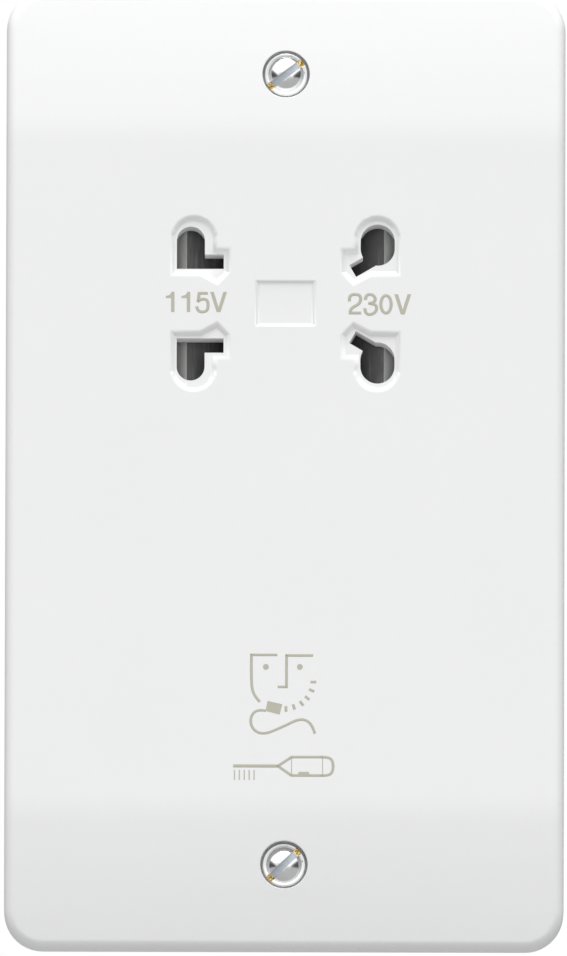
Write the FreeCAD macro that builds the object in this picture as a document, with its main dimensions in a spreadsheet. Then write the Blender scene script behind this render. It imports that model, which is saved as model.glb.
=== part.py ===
import FreeCAD, Part
import math
import os
import re
import Sketcher

# Shaver socket for a two-gang wall box, in millimetres.
# Seen from the front, X is to the right, Y goes back into the wall and Z is up.
# The origin lies on the wall's plane, midway between the two fixing screws.

SIZES = [
    # how far joined forms sink into each other, and how far a cut runs past a face
    ("weld_depth", "0.5"),
    ("cut_clear", "0.5"),
    # front plate
    ("plate_width", "85.0"),
    ("plate_height", "146.0"),
    ("plate_corner", "5.9"),
    ("plate_depth", "9.5"),
    ("end_depth", "7.0"),
    ("flat_height", "98.4"),
    ("crease_round", "60.0"),
    ("crease_turn", "4.5"),
    ("edge_round", "1.6"),
    ("plate_wall", "3.0"),
    ("rim_wall", "2.5"),
    ("guard_thickness", "0.9"),
    # box fixings
    ("fixing_spacing", "120.6"),
    ("fixing_boss", "10.5"),
    ("fixing_hole", "4.0"),
    ("counterbore_width", "7.2"),
    ("seat_depth", "6.9"),
    ("boss_setback", "0.8"),
    ("rib_thickness", "1.6"),
    ("rib_setback", "2.6"),
    ("thread_diameter", "3.5"),
    ("neck_diameter", "2.9"),
    ("thread_setback", "0.6"),
    ("thread_reach", "15.0"),
    ("screw_head", "6.7"),
    ("head_rim", "1.05"),
    ("dome_width", "5.3"),
    ("dome_rise", "0.95"),
    ("dome_shoulder", "3.6"),
    ("shoulder_drop", "0.33"),
    ("head_chamfer", "0.25"),
    ("drive_slot", "1.0"),
    ("drive_depth", "0.9"),
    ("upper_slot_turn", "37.5"),
    ("lower_slot_turn", "44.0"),
    # pin apertures, measured from the centre of the outlets
    ("outlet_height", "25.2"),
    ("pin_115_offset", "14.4"),
    ("pin_115_width", "4.25"),
    ("pin_115_inner", "5.3"),
    ("pin_115_outer", "11.75"),
    ("blade_reach", "9.4"),
    ("blade_height", "2.2"),
    ("pin_230_offset", "14.0"),
    ("pin_230_width", "5.2"),
    ("pin_230_inner", "5.85"),
    ("pin_230_outer", "12.15"),
    ("slant_across", "10.21"),
    ("slant_up", "5.04"),
    ("slant_width", "2.1"),
    ("slant_length", "4.6"),
    ("slant_angle", "30.0"),
    # soft recess round each aperture, at its floor
    ("recess_depth", "0.6"),
    ("recess_slope", "48.0"),
    ("recess_centre", "13.93"),
    ("recess_round", "2.8"),
    ("recess_round_up", "9.9"),
    ("recess_outer", "16.7"),
    ("recess_inner", "11.15"),
    ("recess_blade", "9.15"),
    ("recess_blade_top", "7.75"),
    ("recess_low", "4.95"),
    ("recess_apex_across", "10.45"),
    ("recess_apex_up", "3.7"),
    ("recess_apex_end", "12.8"),
    ("badge_width", "8.2"),
    ("badge_height", "6.2"),
    ("badge_depth", "0.35"),
    ("badge_slope", "50.0"),
    # interlock slide and its springs
    ("ridge_gap", "0.2"),
    ("slide_gap", "0.2"),
    ("slide_height", "4.2"),
    ("slide_half_width", "21.2"),
    ("slide_half_rise", "15.0"),
    ("slide_travel", "7.4"),
    ("ridge_across", "15.0"),
    ("ridge_bevel", "1.6"),
    ("ridge_rise", "1.2"),
    ("ramp_drop", "2.8"),
    ("window_inner", "1.8"),
    ("window_outer", "9.2"),
    ("window_rise", "12.6"),
    ("finger_width", "3.0"),
    ("finger_reach", "13.6"),
    ("finger_gap", "0.3"),
    ("spring_slot", "3.6"),
    ("spring_slot_length", "6.0"),
    ("spring_width", "3.0"),
    ("spring_wire", "0.45"),
    ("spring_turns", "3.0"),
    # contact carrier
    ("carrier_rail", "1.6"),
    ("carrier_end", "1.6"),
    ("tray_floor", "2.0"),
    ("block_depth", "11.0"),
    ("block_half_width", "21.0"),
    ("block_half_rise", "14.2"),
    ("chamber_inner", "8.6"),
    ("chamber_outer", "17.4"),
    ("chamber_low", "3.6"),
    ("chamber_high", "13.0"),
    ("strip_thickness", "0.5"),
    ("strip_margin", "0.6"),
    ("strip_sink", "0.1"),
    ("leaf_thickness", "0.4"),
    ("leaf_pinch", "1.4"),
    ("leaf_end_gap", "0.5"),
    ("tag_width", "3.0"),
    ("tag_length", "5.5"),
    ("tag_overhang", "1.0"),
    # mains switch
    ("leaf_boss_rise", "2.6"),
    ("leaf_boss_inner", "17.0"),
    ("leaf_width", "3.0"),
    ("leaf_end", "13.6"),
    ("dimple_gap", "0.15"),
    ("dimple_half_width", "2.2"),
    ("fixed_boss_rise", "0.6"),
    ("fixed_inner", "9.6"),
    ("rivet_across", "11.8"),
    ("rivet_diameter", "2.4"),
    ("rivet_height", "0.5"),
    # transformer
    ("core_width", "60.0"),
    ("core_height", "50.0"),
    ("core_stack", "20.0"),
    ("core_limb", "10.0"),
    ("core_bottom", "48.0"),
    ("core_front", "8.5"),
    ("clamp_thickness", "0.8"),
    ("clamp_width", "16.0"),
    ("clamp_tab", "6.0"),
    ("bobbin_gap", "0.2"),
    ("bobbin_wall", "1.0"),
    ("flange_thickness", "1.0"),
    ("flange_gap", "0.4"),
    ("winding_setback", "1.0"),
    ("winding_corner", "5.0"),
    ("cutout_width", "12.0"),
    ("cutout_height", "6.0"),
    ("cutout_depth", "4.0"),
    ("cutout_round", "0.8"),
    ("solder_tag_width", "2.0"),
    ("solder_tag_thickness", "0.6"),
    ("solder_tag_out", "3.2"),
    ("solder_tag_in", "3.0"),
    ("tag_across", "13.0"),
    ("common_tag_across", "17.5"),
    # rear housing
    ("housing_half_width", "33.0"),
    ("housing_half_height", "51.0"),
    ("housing_wall", "2.0"),
    ("housing_corner", "4.0"),
    ("back_round", "2.0"),
    ("deep_back", "41.0"),
    ("shallow_back", "22.0"),
    ("step_height", "8.0"),
    ("lug_across", "24.5"),
    ("lug_reach", "4.2"),
    ("lug_diameter", "6.5"),
    ("lug_thickness", "2.3"),
    ("lug_standoff", "2.0"),
    ("lug_hole", "3.0"),
    ("pilot_hole", "2.2"),
    ("pilot_depth", "1.8"),
    ("pilot_clear", "0.3"),
    ("housing_screw_thread", "2.1"),
    ("housing_screw_head", "4.6"),
    ("housing_head_height", "1.5"),
    ("housing_drive_slot", "0.6"),
    ("pillar_width", "5.0"),
    ("pillar_across", "24.4"),
    ("pillar_margin", "2.5"),
    ("pillar_top_margin", "5.0"),
    ("post_width", "5.0"),
    ("post_across", "24.4"),
    ("post_rise", "12.5"),
    ("small_post", "3.0"),
    # terminals
    ("terminal_width", "7.0"),
    ("terminal_depth", "8.0"),
    ("terminal_height", "7.0"),
    ("terminal_gap", "0.2"),
    ("terminal_inset", "0.5"),
    ("terminal_bore", "3.2"),
    ("bore_setback", "1.5"),
    ("terminal_tail", "5.5"),
    ("tail_thickness", "0.8"),
    ("tail_setback", "0.7"),
    ("live_across", "20.0"),
    ("earth_across", "9.0"),
    ("terminal_screw_thread", "2.8"),
    ("terminal_head_height", "2.0"),
    ("terminal_drive_slot", "0.7"),
    # inner wires
    ("lead_diameter", "1.6"),
    ("lead_bend", "2.0"),
    ("lead_layer", "2.0"),
    ("lead_lane", "2.6"),
]

document = FreeCAD.newDocument("shaver_socket")
sheet = document.addObject("Spreadsheet::Sheet", "sheet")
for row, (name, number) in enumerate(SIZES, 1):
    sheet.set("A%d" % row, name)
    sheet.set("B%d" % row, number)
    sheet.setAlias("B%d" % row, name)
document.recompute()


def bound(formula):
    """The formula with every size name tied to its cell in the sheet."""
    return re.sub(r"\b[a-z]+(?:_[a-z0-9]+)+\b", lambda found: "sheet." + found.group(0), formula)


def value(formula):
    return float(sheet.evalExpression(bound(formula)))


# Sketches: XZ ones face the front, so they are placed by how far forward they lie

def new_sketch(body, plane, offset):
    sketch = body.newObject("Sketcher::SketchObject", "sketch")
    support = [part for part in body.Origin.OriginFeatures if part.Role == plane + "_Plane"][0]
    sketch.AttachmentSupport = [(support, "")]
    sketch.MapMode = "FlatFace"
    sketch.setExpression("AttachmentOffset.Base.z", bound(offset))
    return sketch


def tie(sketch, kind, target, formula):
    index = sketch.addConstraint(Sketcher.Constraint(kind, *target, value(formula)))
    sketch.setExpression("Constraints[%d]" % index, bound(formula))


def locate(sketch, geometry, point, across, along):
    tie(sketch, "DistanceX", (-1, 1, geometry, point), across)
    tie(sketch, "DistanceY", (-1, 1, geometry, point), along)


def add_polygon(sketch, corners):
    first, count = sketch.GeometryCount, len(corners)
    points = [FreeCAD.Vector(value(across), value(along), 0) for across, along in corners]
    for index in range(count):
        sketch.addGeometry(Part.LineSegment(points[index], points[(index + 1) % count]), False)
    for index in range(count):
        following = first + (index + 1) % count
        sketch.addConstraint(Sketcher.Constraint("Coincident", first + index, 2, following, 1))
    for index, (across, along) in enumerate(corners):
        locate(sketch, first + index, 1, across, along)


def add_circle(sketch, across, along, diameter):
    centre = FreeCAD.Vector(value(across), value(along), 0)
    circle = Part.Circle(centre, FreeCAD.Vector(0, 0, 1), value(diameter) / 2)
    geometry = sketch.addGeometry(circle, False)
    locate(sketch, geometry, 3, across, along)
    tie(sketch, "Diameter", (geometry,), diameter)


def box(left, right, bottom, top):
    return [(left, bottom), (right, bottom), (right, top), (left, top)]


def post(across, along, width):
    return box("%s - %s / 2" % (across, width), "%s + %s / 2" % (across, width),
               "%s - %s / 2" % (along, width), "%s + %s / 2" % (along, width))


def draw(sketch, outlines):
    for outline in outlines:
        if isinstance(outline, tuple):
            add_circle(sketch, *outline)
        else:
            add_polygon(sketch, outline)
    sketch.Visibility = False


def pad(body, plane, outlines, low, high):
    """Add a prism between two places along the axis that the plane faces."""
    sketch = new_sketch(body, plane, "-(%s)" % high if plane == "XZ" else low)
    draw(sketch, outlines)
    feature = body.newObject("PartDesign::Pad", "pad")
    feature.Profile = sketch
    feature.setExpression("Length", bound("(%s) - (%s)" % (high, low)))
    return feature


def cut(body, plane, outlines, low, high, widening=None):
    """Cut a prism between two places, its walls opening towards the front where a slope is given."""
    forward = widening is not None
    if plane == "XZ":
        place = "-(%s)" % (high if forward else low)
    else:
        place = high
    sketch = new_sketch(body, plane, place)
    draw(sketch, outlines)
    feature = body.newObject("PartDesign::Pocket", "cut")
    feature.Profile = sketch
    feature.setExpression("Length", bound("(%s) - (%s)" % (high, low)))
    if forward:
        feature.Reversed = True
        feature.setExpression("TaperAngle", bound(widening))
    return feature


def turn(body, corners, groove=False):
    """Revolve an outline of radii and places along Y about the body's own Y axis."""
    sketch = new_sketch(body, "XY", "0")
    draw(sketch, [corners])
    feature = body.newObject("PartDesign::Groove" if groove else "PartDesign::Revolution", "turn")
    feature.Profile = sketch
    feature.ReferenceAxis = (sketch, ["V_Axis"])
    feature.Angle = 360
    return feature


def round_edges(body, radius, wanted):
    """Fillet the edges of the body whose middle and direction meet the test."""
    document.recompute()
    base = body.Tip
    names = []
    for number, edge in enumerate(base.Shape.Edges, 1):
        middle = edge.valueAt((edge.FirstParameter + edge.LastParameter) / 2)
        heading = edge.lastVertex().Point - edge.firstVertex().Point
        if wanted(middle, heading):
            names.append("Edge%d" % number)
    feature = body.newObject("PartDesign::Fillet", "round")
    feature.Base = (base, names)
    feature.setExpression("Radius", bound(radius))
    document.recompute()
    return feature


def near(first, second):
    return abs(first - second) < 0.01


def new_body(label):
    body = document.addObject("PartDesign::Body", label)
    body.Label = label
    return body


# Planes along Y that several pieces share
INNER = "(plate_wall - plate_depth)"
SUNK = "(%s - weld_depth)" % INNER
GUARD = "(plate_wall + guard_thickness - plate_depth)"
RIDGE = "(%s + ridge_gap)" % GUARD
SLIDE_BACK = "(%s + slide_height)" % RIDGE
FLOOR = "(%s + slide_gap)" % SLIDE_BACK
TRAY_BACK = "(%s + tray_floor)" % FLOOR
BLOCK_BACK = "(%s + block_depth)" % TRAY_BACK
STRIP_BACK = "(%s + strip_thickness)" % BLOCK_BACK
LEAF_FRONT = "(finger_reach + dimple_gap + ridge_rise)"
LEAF_BACK = "(%s + leaf_thickness)" % LEAF_FRONT
FIXED_FRONT = "(%s + fixed_boss_rise)" % BLOCK_BACK
FIXED_BACK = "(%s + strip_thickness)" % FIXED_FRONT
LUG_FRONT = "(%s + lug_standoff)" % INNER
LUG_BACK = "(%s + lug_thickness)" % LUG_FRONT
CORE_BACK = "(core_front + core_stack)"
CORE_MIDDLE = "(core_front + core_stack / 2)"
DEEP_INNER = "(deep_back - housing_wall)"
SHALLOW_INNER = "(shallow_back - housing_wall)"

# Heights that several pieces share
FIXING = "fixing_spacing / 2"
CORE_TOP = "(core_height - core_bottom)"
PILLAR_LOW = "(pillar_margin - core_bottom)"
PILLAR_HIGH = "(%s - pillar_top_margin)" % CORE_TOP
GUARD_HALF = "(slide_half_rise + slide_gap + carrier_rail)"
GUARD_SIDE = "(slide_half_width + slide_travel + slide_gap + carrier_end)"
TERMINAL_TOP = "(housing_half_height - terminal_inset)"
TERMINAL_LOW = "(%s - terminal_height)" % TERMINAL_TOP
TERMINAL_FRONT = "(shallow_back - terminal_inset - terminal_depth)"
TAIL_END = "(%s - terminal_tail)" % TERMINAL_LOW
TAIL_MIDDLE = "(%s + tail_setback + tail_thickness / 2)" % TERMINAL_FRONT

shown = []


# Front plate: flat in the middle, with ends that fall away in a long curve

plate = new_body("front_plate")
shown.append(plate)

profile = new_sketch(plate, "YZ", "-plate_width / 2")
half_height, half_flat = value("plate_height / 2"), value("flat_height / 2")
face, end = -value("plate_depth"), -value("end_depth")
crease, sweep = value("crease_round"), math.radians(value("crease_turn"))
inward = FreeCAD.Vector(math.cos(sweep), -math.sin(sweep), 0)
bend = FreeCAD.Vector(face + crease, half_flat, 0)
across_end = FreeCAD.Vector(end, half_height, 0) - (bend - inward * crease)
curve = across_end.Length ** 2 / (2 * across_end.dot(inward))
sink = bend + inward * (curve - crease)
finish = math.atan2(half_height - sink.y, end - sink.x)
upward = FreeCAD.Vector(0, 0, 1)
mirror_bend, mirror_sink = FreeCAD.Vector(bend.x, -bend.y, 0), FreeCAD.Vector(sink.x, -sink.y, 0)
outline = [
    Part.LineSegment(FreeCAD.Vector(0, half_height, 0), FreeCAD.Vector(0, -half_height, 0)),
    Part.LineSegment(FreeCAD.Vector(0, -half_height, 0), FreeCAD.Vector(end, -half_height, 0)),
    Part.ArcOfCircle(Part.Circle(mirror_sink, upward, curve), math.pi + sweep, 2 * math.pi - finish),
    Part.ArcOfCircle(Part.Circle(mirror_bend, upward, crease), math.pi, math.pi + sweep),
    Part.LineSegment(FreeCAD.Vector(face, -half_flat, 0), FreeCAD.Vector(face, half_flat, 0)),
    Part.ArcOfCircle(Part.Circle(bend, upward, crease), math.pi - sweep, math.pi),
    Part.ArcOfCircle(Part.Circle(sink, upward, curve), finish, math.pi - sweep),
    Part.LineSegment(FreeCAD.Vector(end, half_height, 0), FreeCAD.Vector(0, half_height, 0)),
]
for curve_piece in outline:
    profile.addGeometry(curve_piece, False)
for kind, first, first_end, second, second_end in (
    ("Coincident", 0, 2, 1, 1),
    ("Coincident", 1, 2, 2, 2),
    ("Tangent", 2, 1, 3, 2),
    ("Tangent", 3, 1, 4, 1),
    ("Tangent", 4, 2, 5, 2),
    ("Tangent", 5, 1, 6, 2),
    ("Coincident", 6, 1, 7, 1),
    ("Coincident", 7, 2, 0, 1),
):
    profile.addConstraint(Sketcher.Constraint(kind, first, first_end, second, second_end))
CREASE_DEPTH = "crease_round * (1 - cos(crease_turn)) - plate_depth"
CREASE_END = "(flat_height / 2 + crease_round * sin(crease_turn))"
locate(profile, 5, 1, CREASE_DEPTH, CREASE_END)
locate(profile, 3, 2, CREASE_DEPTH, "-" + CREASE_END)
locate(profile, 0, 1, "0", "plate_height / 2")
locate(profile, 0, 2, "0", "-plate_height / 2")
locate(profile, 1, 2, "-end_depth", "-plate_height / 2")
locate(profile, 7, 1, "-end_depth", "plate_height / 2")
locate(profile, 4, 1, "-plate_depth", "-flat_height / 2")
tie(profile, "DistanceY", (-1, 1, 4, 2), "flat_height / 2")
profile.Visibility = False
slab = plate.newObject("PartDesign::Pad", "slab")
slab.Profile = profile
slab.setExpression("Length", bound("plate_width"))

half_width = value("plate_width / 2")
round_edges(plate, "plate_corner", lambda middle, heading: near(abs(middle.x), half_width)
            and near(abs(middle.z), half_height) and abs(heading.y) > 1)
side, tip = half_width - value("plate_corner"), half_height - value("plate_corner")
round_edges(plate, "edge_round", lambda middle, heading: middle.y < end + 0.01
            and (abs(middle.x) > side + 0.1 or abs(middle.z) > tip + 0.1))

# The hollow behind it keeps an even wall
hollow_side, hollow_end = "(plate_width / 2 - rim_wall)", "(plate_height / 2 - rim_wall)"
hollow_slope = "(flat_height / 2 + rim_wall)"
cut(plate, "YZ", [[
    ("cut_clear", "-" + hollow_end),
    ("cut_clear", hollow_end),
    ("plate_wall - end_depth", hollow_end),
    (INNER, hollow_slope),
    (INNER, "-" + hollow_slope),
    ("plate_wall - end_depth", "-" + hollow_end),
]], "-" + hollow_side, hollow_side)
inside_x, inside_z = value(hollow_side), value(hollow_end)
round_edges(plate, "plate_corner - rim_wall", lambda middle, heading: near(abs(middle.x), inside_x)
            and near(abs(middle.z), inside_z) and abs(heading.y) > 1)

# Behind the outlets the wall is thicker and closes the slide's channel
guard = box("-" + GUARD_SIDE, GUARD_SIDE,
            "outlet_height - " + GUARD_HALF, "outlet_height + " + GUARD_HALF)
pad(plate, "XZ", [guard], SUNK, GUARD)

# Fixing bosses, each with a rib to the end wall
fixings = [("0", sign + FIXING, "fixing_boss") for sign in ("", "-")]
pad(plate, "XZ", fixings, SUNK, "-boss_setback")
ribs = [box("-rib_thickness / 2", "rib_thickness / 2", low, high) for low, high in (
    (FIXING, hollow_end + " + weld_depth"), ("-%s - weld_depth" % hollow_end, "-" + FIXING))]
pad(plate, "XZ", ribs, SUNK, "-rib_setback")
for width, bottom in (("fixing_hole", "0"), ("counterbore_width", "-seat_depth")):
    cut(plate, "XZ", [("0", sign + FIXING, width) for sign in ("", "-")], "-plate_depth", bottom)

# Bosses for the housing's screws, and pillars that press on the transformer
corners = [(x, z) for x in ("", "-") for z in ("", "-")]
LUG_UP = "(housing_half_height + lug_reach)"
lugs = [(x + "lug_across", z + LUG_UP) for x, z in corners]
pad(plate, "XZ", [post(x, z, "lug_diameter") for x, z in lugs], SUNK, LUG_FRONT)
cut(plate, "XZ", [(x, z, "pilot_hole") for x, z in lugs], "%s - pilot_depth" % INNER, LUG_FRONT)
pillars = [(sign + "pillar_across", height) for sign in ("", "-") for height in (PILLAR_LOW, PILLAR_HIGH)]
pad(plate, "XZ", [post(x, z, "pillar_width") for x, z in pillars], SUNK, "core_front")

# Soft recess round each aperture: a ridge-sided floor with a round end
recess = [
    ("recess_outer", "recess_low"),
    ("recess_outer", "recess_round_up"),
    ("recess_inner", "recess_round_up"),
    ("recess_inner", "recess_blade_top"),
    ("recess_blade", "recess_blade_top"),
    ("recess_blade", "recess_low"),
    ("recess_apex_across", "recess_apex_up"),
    ("recess_apex_end", "recess_low"),
]
recess_floor = "recess_depth - plate_depth"
floors = [[(x + across, "outlet_height %s %s" % (z or "+", along)) for across, along in recess]
          for x, z in corners]
cut(plate, "XZ", floors, "-plate_depth", recess_floor, "recess_slope")
rounds = [(x + "recess_centre", "outlet_height %s recess_round_up" % (z or "+"), "2 * recess_round")
          for x, z in corners]
cut(plate, "XZ", rounds, "-plate_depth", recess_floor, "recess_slope")

# Flat-pin apertures on the left: a round-ended slot with a blade slot across its foot
through = ("-plate_depth - cut_clear", "%s + cut_clear" % GUARD)
both = ("outlet_height + ", "outlet_height - ")
slots = [[
    ("-pin_115_offset - pin_115_width / 2", base + "pin_115_inner"),
    ("-blade_reach", base + "pin_115_inner"),
    ("-blade_reach", base + "(pin_115_inner + blade_height)"),
    ("-pin_115_offset + pin_115_width / 2", base + "(pin_115_inner + blade_height)"),
    ("-pin_115_offset + pin_115_width / 2", base + "(pin_115_outer - pin_115_width / 2)"),
    ("-pin_115_offset - pin_115_width / 2", base + "(pin_115_outer - pin_115_width / 2)"),
] for base in both]
cut(plate, "XZ", slots, *through)
ends = [("-pin_115_offset", base + "(pin_115_outer - pin_115_width / 2)", "pin_115_width") for base in both]
cut(plate, "XZ", ends, *through)

# Round-pin apertures on the right, each with a slanted blade slot
pin_low, pin_high = "(pin_230_inner + pin_230_width / 2)", "(pin_230_outer - pin_230_width / 2)"
for centre in (pin_high, pin_low):
    cut(plate, "XZ", [("pin_230_offset", base + centre, "pin_230_width") for base in both], *through)
waist = [box("pin_230_offset - pin_230_width / 2", "pin_230_offset + pin_230_width / 2",
             base + pin_low, base + pin_high) for base in both]
cut(plate, "XZ", waist, *through)
slants = [[
    ("slant_across %s sin(slant_angle) * slant_width / 2 + %s * cos(slant_angle)" % (edge, run),
     base + "(slant_up %s cos(slant_angle) * slant_width / 2 + %s * sin(slant_angle))" % (other, run))
    for edge, other, run in (
        ("-", "+", "0"), ("+", "-", "0"), ("+", "-", "slant_length"), ("-", "+", "slant_length"))
] for base in both]
cut(plate, "XZ", slants, *through)

# Shallow place for a badge between the outlets, left bare
badge = box("-badge_width / 2", "badge_width / 2",
            "outlet_height - badge_height / 2", "outlet_height + badge_height / 2")
cut(plate, "XZ", [badge], "-plate_depth", "badge_depth - plate_depth", "badge_slope")


# Fixing screws: captive, with a plain neck, a raised slotted head and a threaded end

def slotted_screw(label, outline, head, top, width, depth, forward):
    """A turned screw whose drive slot is cut into the end that faces forward or back."""
    body = new_body(label)
    turn(body, outline)
    across = "(%s / 2 + cut_clear)" % head
    slot = box("-" + across, across, "-%s / 2" % width, "%s / 2" % width)
    if forward:
        cut(body, "XZ", [slot], "%s - cut_clear" % top, "%s + %s" % (top, depth))
    else:
        cut(body, "XZ", [slot], "%s - %s" % (top, depth), "%s + cut_clear" % top)
    return body


HEAD_RIM = "(-seat_depth - head_rim)"
HEAD_TOP = "(%s - dome_rise)" % HEAD_RIM
fixing_outline = [
    ("0", HEAD_TOP),
    ("dome_shoulder / 2", HEAD_TOP + " + shoulder_drop"),
    ("dome_width / 2", HEAD_RIM),
    ("screw_head / 2 - head_chamfer", HEAD_RIM),
    ("screw_head / 2", HEAD_RIM + " + head_chamfer"),
    ("screw_head / 2", "-seat_depth"),
    ("neck_diameter / 2", "-seat_depth"),
    ("neck_diameter / 2", "-thread_setback"),
    ("thread_diameter / 2", "-thread_setback"),
    ("thread_diameter / 2", "thread_reach"),
    ("0", "thread_reach"),
]
fixing_screws = []
for label, height, slant in (
    ("upper_screw", FIXING, "-upper_slot_turn"),
    ("lower_screw", "-" + FIXING, "-lower_slot_turn"),
):
    screw = slotted_screw(label, fixing_outline, "screw_head", HEAD_TOP, "drive_slot", "drive_depth", True)
    screw.Placement.Rotation = FreeCAD.Rotation(FreeCAD.Vector(0, 1, 0), value(slant))
    screw.setExpression("Placement.Rotation.Angle", bound(slant))
    screw.setExpression("Placement.Base.z", bound(height))
    fixing_screws.append(screw)
fixing_group = document.addObject("Part::Compound", "fixing_screws")
fixing_group.Links = fixing_screws
shown.append(fixing_group)


# Interlock slide: a ridge behind each outlet turns a pin's push into a sideways move

slide = new_body("interlock_shutter")
shown.append(slide)
SLIDE_FLAT = "(%s + ridge_rise)" % RIDGE
SLIDE_RAMP = "(%s + ramp_drop)" % RIDGE
half_section = [
    ("window_inner", SLIDE_FLAT),
    ("window_inner", SLIDE_RAMP),
    ("window_outer", SLIDE_RAMP),
    ("ridge_across", RIDGE),
    ("ridge_across + ridge_bevel", SLIDE_FLAT),
    ("slide_half_width", SLIDE_FLAT),
    ("slide_half_width", SLIDE_BACK),
]
section = half_section + [("-(%s)" % x, y) for x, y in reversed(half_section)]
pad(slide, "XY", [section], "outlet_height - slide_half_rise", "outlet_height + slide_half_rise")
windows = [box(*sides, "outlet_height - window_rise", "outlet_height + window_rise") for sides in (
    ("window_inner", "window_outer"), ("-window_outer", "-window_inner"))]
cut(slide, "XZ", windows, RIDGE, SLIDE_BACK)
pockets = [box(*sides, "outlet_height - spring_slot / 2", "outlet_height + spring_slot / 2") for sides in (
    ("slide_half_width - spring_slot_length", "slide_half_width + cut_clear"),
    ("-slide_half_width - cut_clear", "spring_slot_length - slide_half_width"))]
cut(slide, "XZ", pockets, RIDGE, SLIDE_BACK)
pad(slide, "XZ", [post("0", "outlet_height", "finger_width")], SLIDE_FLAT + " + weld_depth", "finger_reach")


# Springs: one coil in each end slot, between the slide and the channel's end

SPRING_START = "(slide_half_width - spring_slot_length + spring_wire / 2)"
SPRING_RUN = "(slide_travel + slide_gap + spring_slot_length - spring_wire)"
for label, sign, facing in (("shutter_spring_left", "-", -90), ("shutter_spring_right", "", 90)):
    helix = document.addObject("Part::Helix", label + "_path")
    helix.setExpression("Pitch", bound("%s / spring_turns" % SPRING_RUN))
    helix.setExpression("Height", bound(SPRING_RUN))
    helix.setExpression("Radius", bound("(spring_width - spring_wire) / 2"))
    wire = document.addObject("Part::RegularPolygon", label + "_wire")
    wire.Polygon = 4
    wire.setExpression("Circumradius", bound("spring_wire / 2"))
    wire.Placement.Rotation = FreeCAD.Rotation(FreeCAD.Vector(1, 0, 0), 90)
    wire.setExpression("Placement.Base.x", bound("(spring_width - spring_wire) / 2"))
    spring = document.addObject("Part::Sweep", label)
    spring.Sections = [wire]
    spring.Spine = (helix, [])
    spring.Solid = True
    spring.Frenet = True
    spring.Placement.Rotation = FreeCAD.Rotation(FreeCAD.Vector(0, 1, 0), facing)
    spring.setExpression("Placement.Base.x", bound(sign + SPRING_START))
    spring.setExpression("Placement.Base.y", bound("(%s + %s) / 2" % (SLIDE_FLAT, SLIDE_BACK)))
    spring.setExpression("Placement.Base.z", bound("outlet_height"))
    spring.Label = label
    shown.append(spring)


# Contact carrier: the slide's channel in front, the contact block with its pin chambers behind

carrier = new_body("contact_carrier")
shown.append(carrier)
low, high = "outlet_height - ", "outlet_height + "
pad(carrier, "XZ", [guard], GUARD, TRAY_BACK)
block = box("-block_half_width", "block_half_width", low + "block_half_rise", high + "block_half_rise")
pad(carrier, "XZ", [block], TRAY_BACK + " - weld_depth", BLOCK_BACK)
boss = box("-block_half_width", "-leaf_boss_inner", low + "leaf_boss_rise", high + "leaf_boss_rise")
pad(carrier, "XZ", [boss], BLOCK_BACK + " - weld_depth", LEAF_FRONT)
ledge = box("fixed_inner", "block_half_width", low + "leaf_boss_rise", high + "leaf_boss_rise")
pad(carrier, "XZ", [ledge], BLOCK_BACK + " - weld_depth", FIXED_FRONT)
channel_side, channel_rise = "(slide_half_width + slide_travel + slide_gap)", "(slide_half_rise + slide_gap)"
channel = box("-" + channel_side, channel_side, low + channel_rise, high + channel_rise)
cut(carrier, "XZ", [channel], GUARD, FLOOR)
chambers = []
for sides in (("chamber_inner", "chamber_outer"), ("-chamber_outer", "-chamber_inner")):
    chambers.append(box(*sides, high + "chamber_low", high + "chamber_high"))
    chambers.append(box(*sides, low + "chamber_high", low + "chamber_low"))
cut(carrier, "XZ", chambers, FLOOR + " - cut_clear", BLOCK_BACK)
finger_side, finger_rise = "(finger_width / 2 + slide_travel + finger_gap)", "(finger_width / 2 + finger_gap)"
finger_slot = box("-" + finger_side, finger_side, low + finger_rise, high + finger_rise)
cut(carrier, "XZ", [finger_slot], FLOOR + " - cut_clear", BLOCK_BACK)


# Pin contacts: a strip on the block's back, with pinched leaves reaching forward into each chamber

def leaf_section(base, wall, inward):
    """A sprung leaf beside a chamber wall, bent in towards the pin halfway along."""
    front, middle = TRAY_BACK + " + leaf_end_gap", "(%s + %s) / 2" % (TRAY_BACK, BLOCK_BACK)
    rest, pinch = "leaf_thickness / 2", "leaf_pinch"
    outer = [(BLOCK_BACK + " + strip_sink", rest), (middle, pinch), (front, rest)]
    places = outer + [(y, "(%s + leaf_thickness)" % up) for y, up in reversed(outer)]
    return [(y, "%s (%s %s %s)" % (base, wall, inward, up)) for y, up in places]


def pin_contact(label, base, columns, tail):
    body = new_body(label)
    shown.append(body)
    left, right = columns[0][0], columns[-1][1]
    inner, outer = base + " (chamber_low - strip_margin)", base + " (chamber_high + strip_margin)"
    strip = box("%s - strip_margin" % left, "%s + strip_margin" % right, inner, outer)
    pad(body, "XZ", [strip], BLOCK_BACK, STRIP_BACK)
    for start, stop in columns:
        for wall, inward in (("chamber_low", "+"), ("chamber_high", "-")):
            span = (start + " + strip_margin", stop + " - strip_margin")
            pad(body, "YZ", [leaf_section(base, wall, inward)], *span)
    if tail:
        middle, ending = tail
        tag = box(middle + " - solder_tag_width / 2", middle + " + solder_tag_width / 2", ending, outer)
        pad(body, "XZ", [tag], BLOCK_BACK, STRIP_BACK)
    return body


left_column, right_column = ("-chamber_outer", "-chamber_inner"), ("chamber_inner", "chamber_outer")
TAG_FOOT = "(outlet_height - block_half_rise - tag_overhang)"
pin_contact("common_contact", "outlet_height +", [left_column, right_column], None)
pin_contact("contact_115v", "outlet_height -", [left_column], ("-tag_across", TAG_FOOT))
pin_contact("contact_230v", "outlet_height -", [right_column], ("tag_across", TAG_FOOT))


# Mains switch: the slide's finger holds the leaf's dimple back until a pin moves the slide aside

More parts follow.
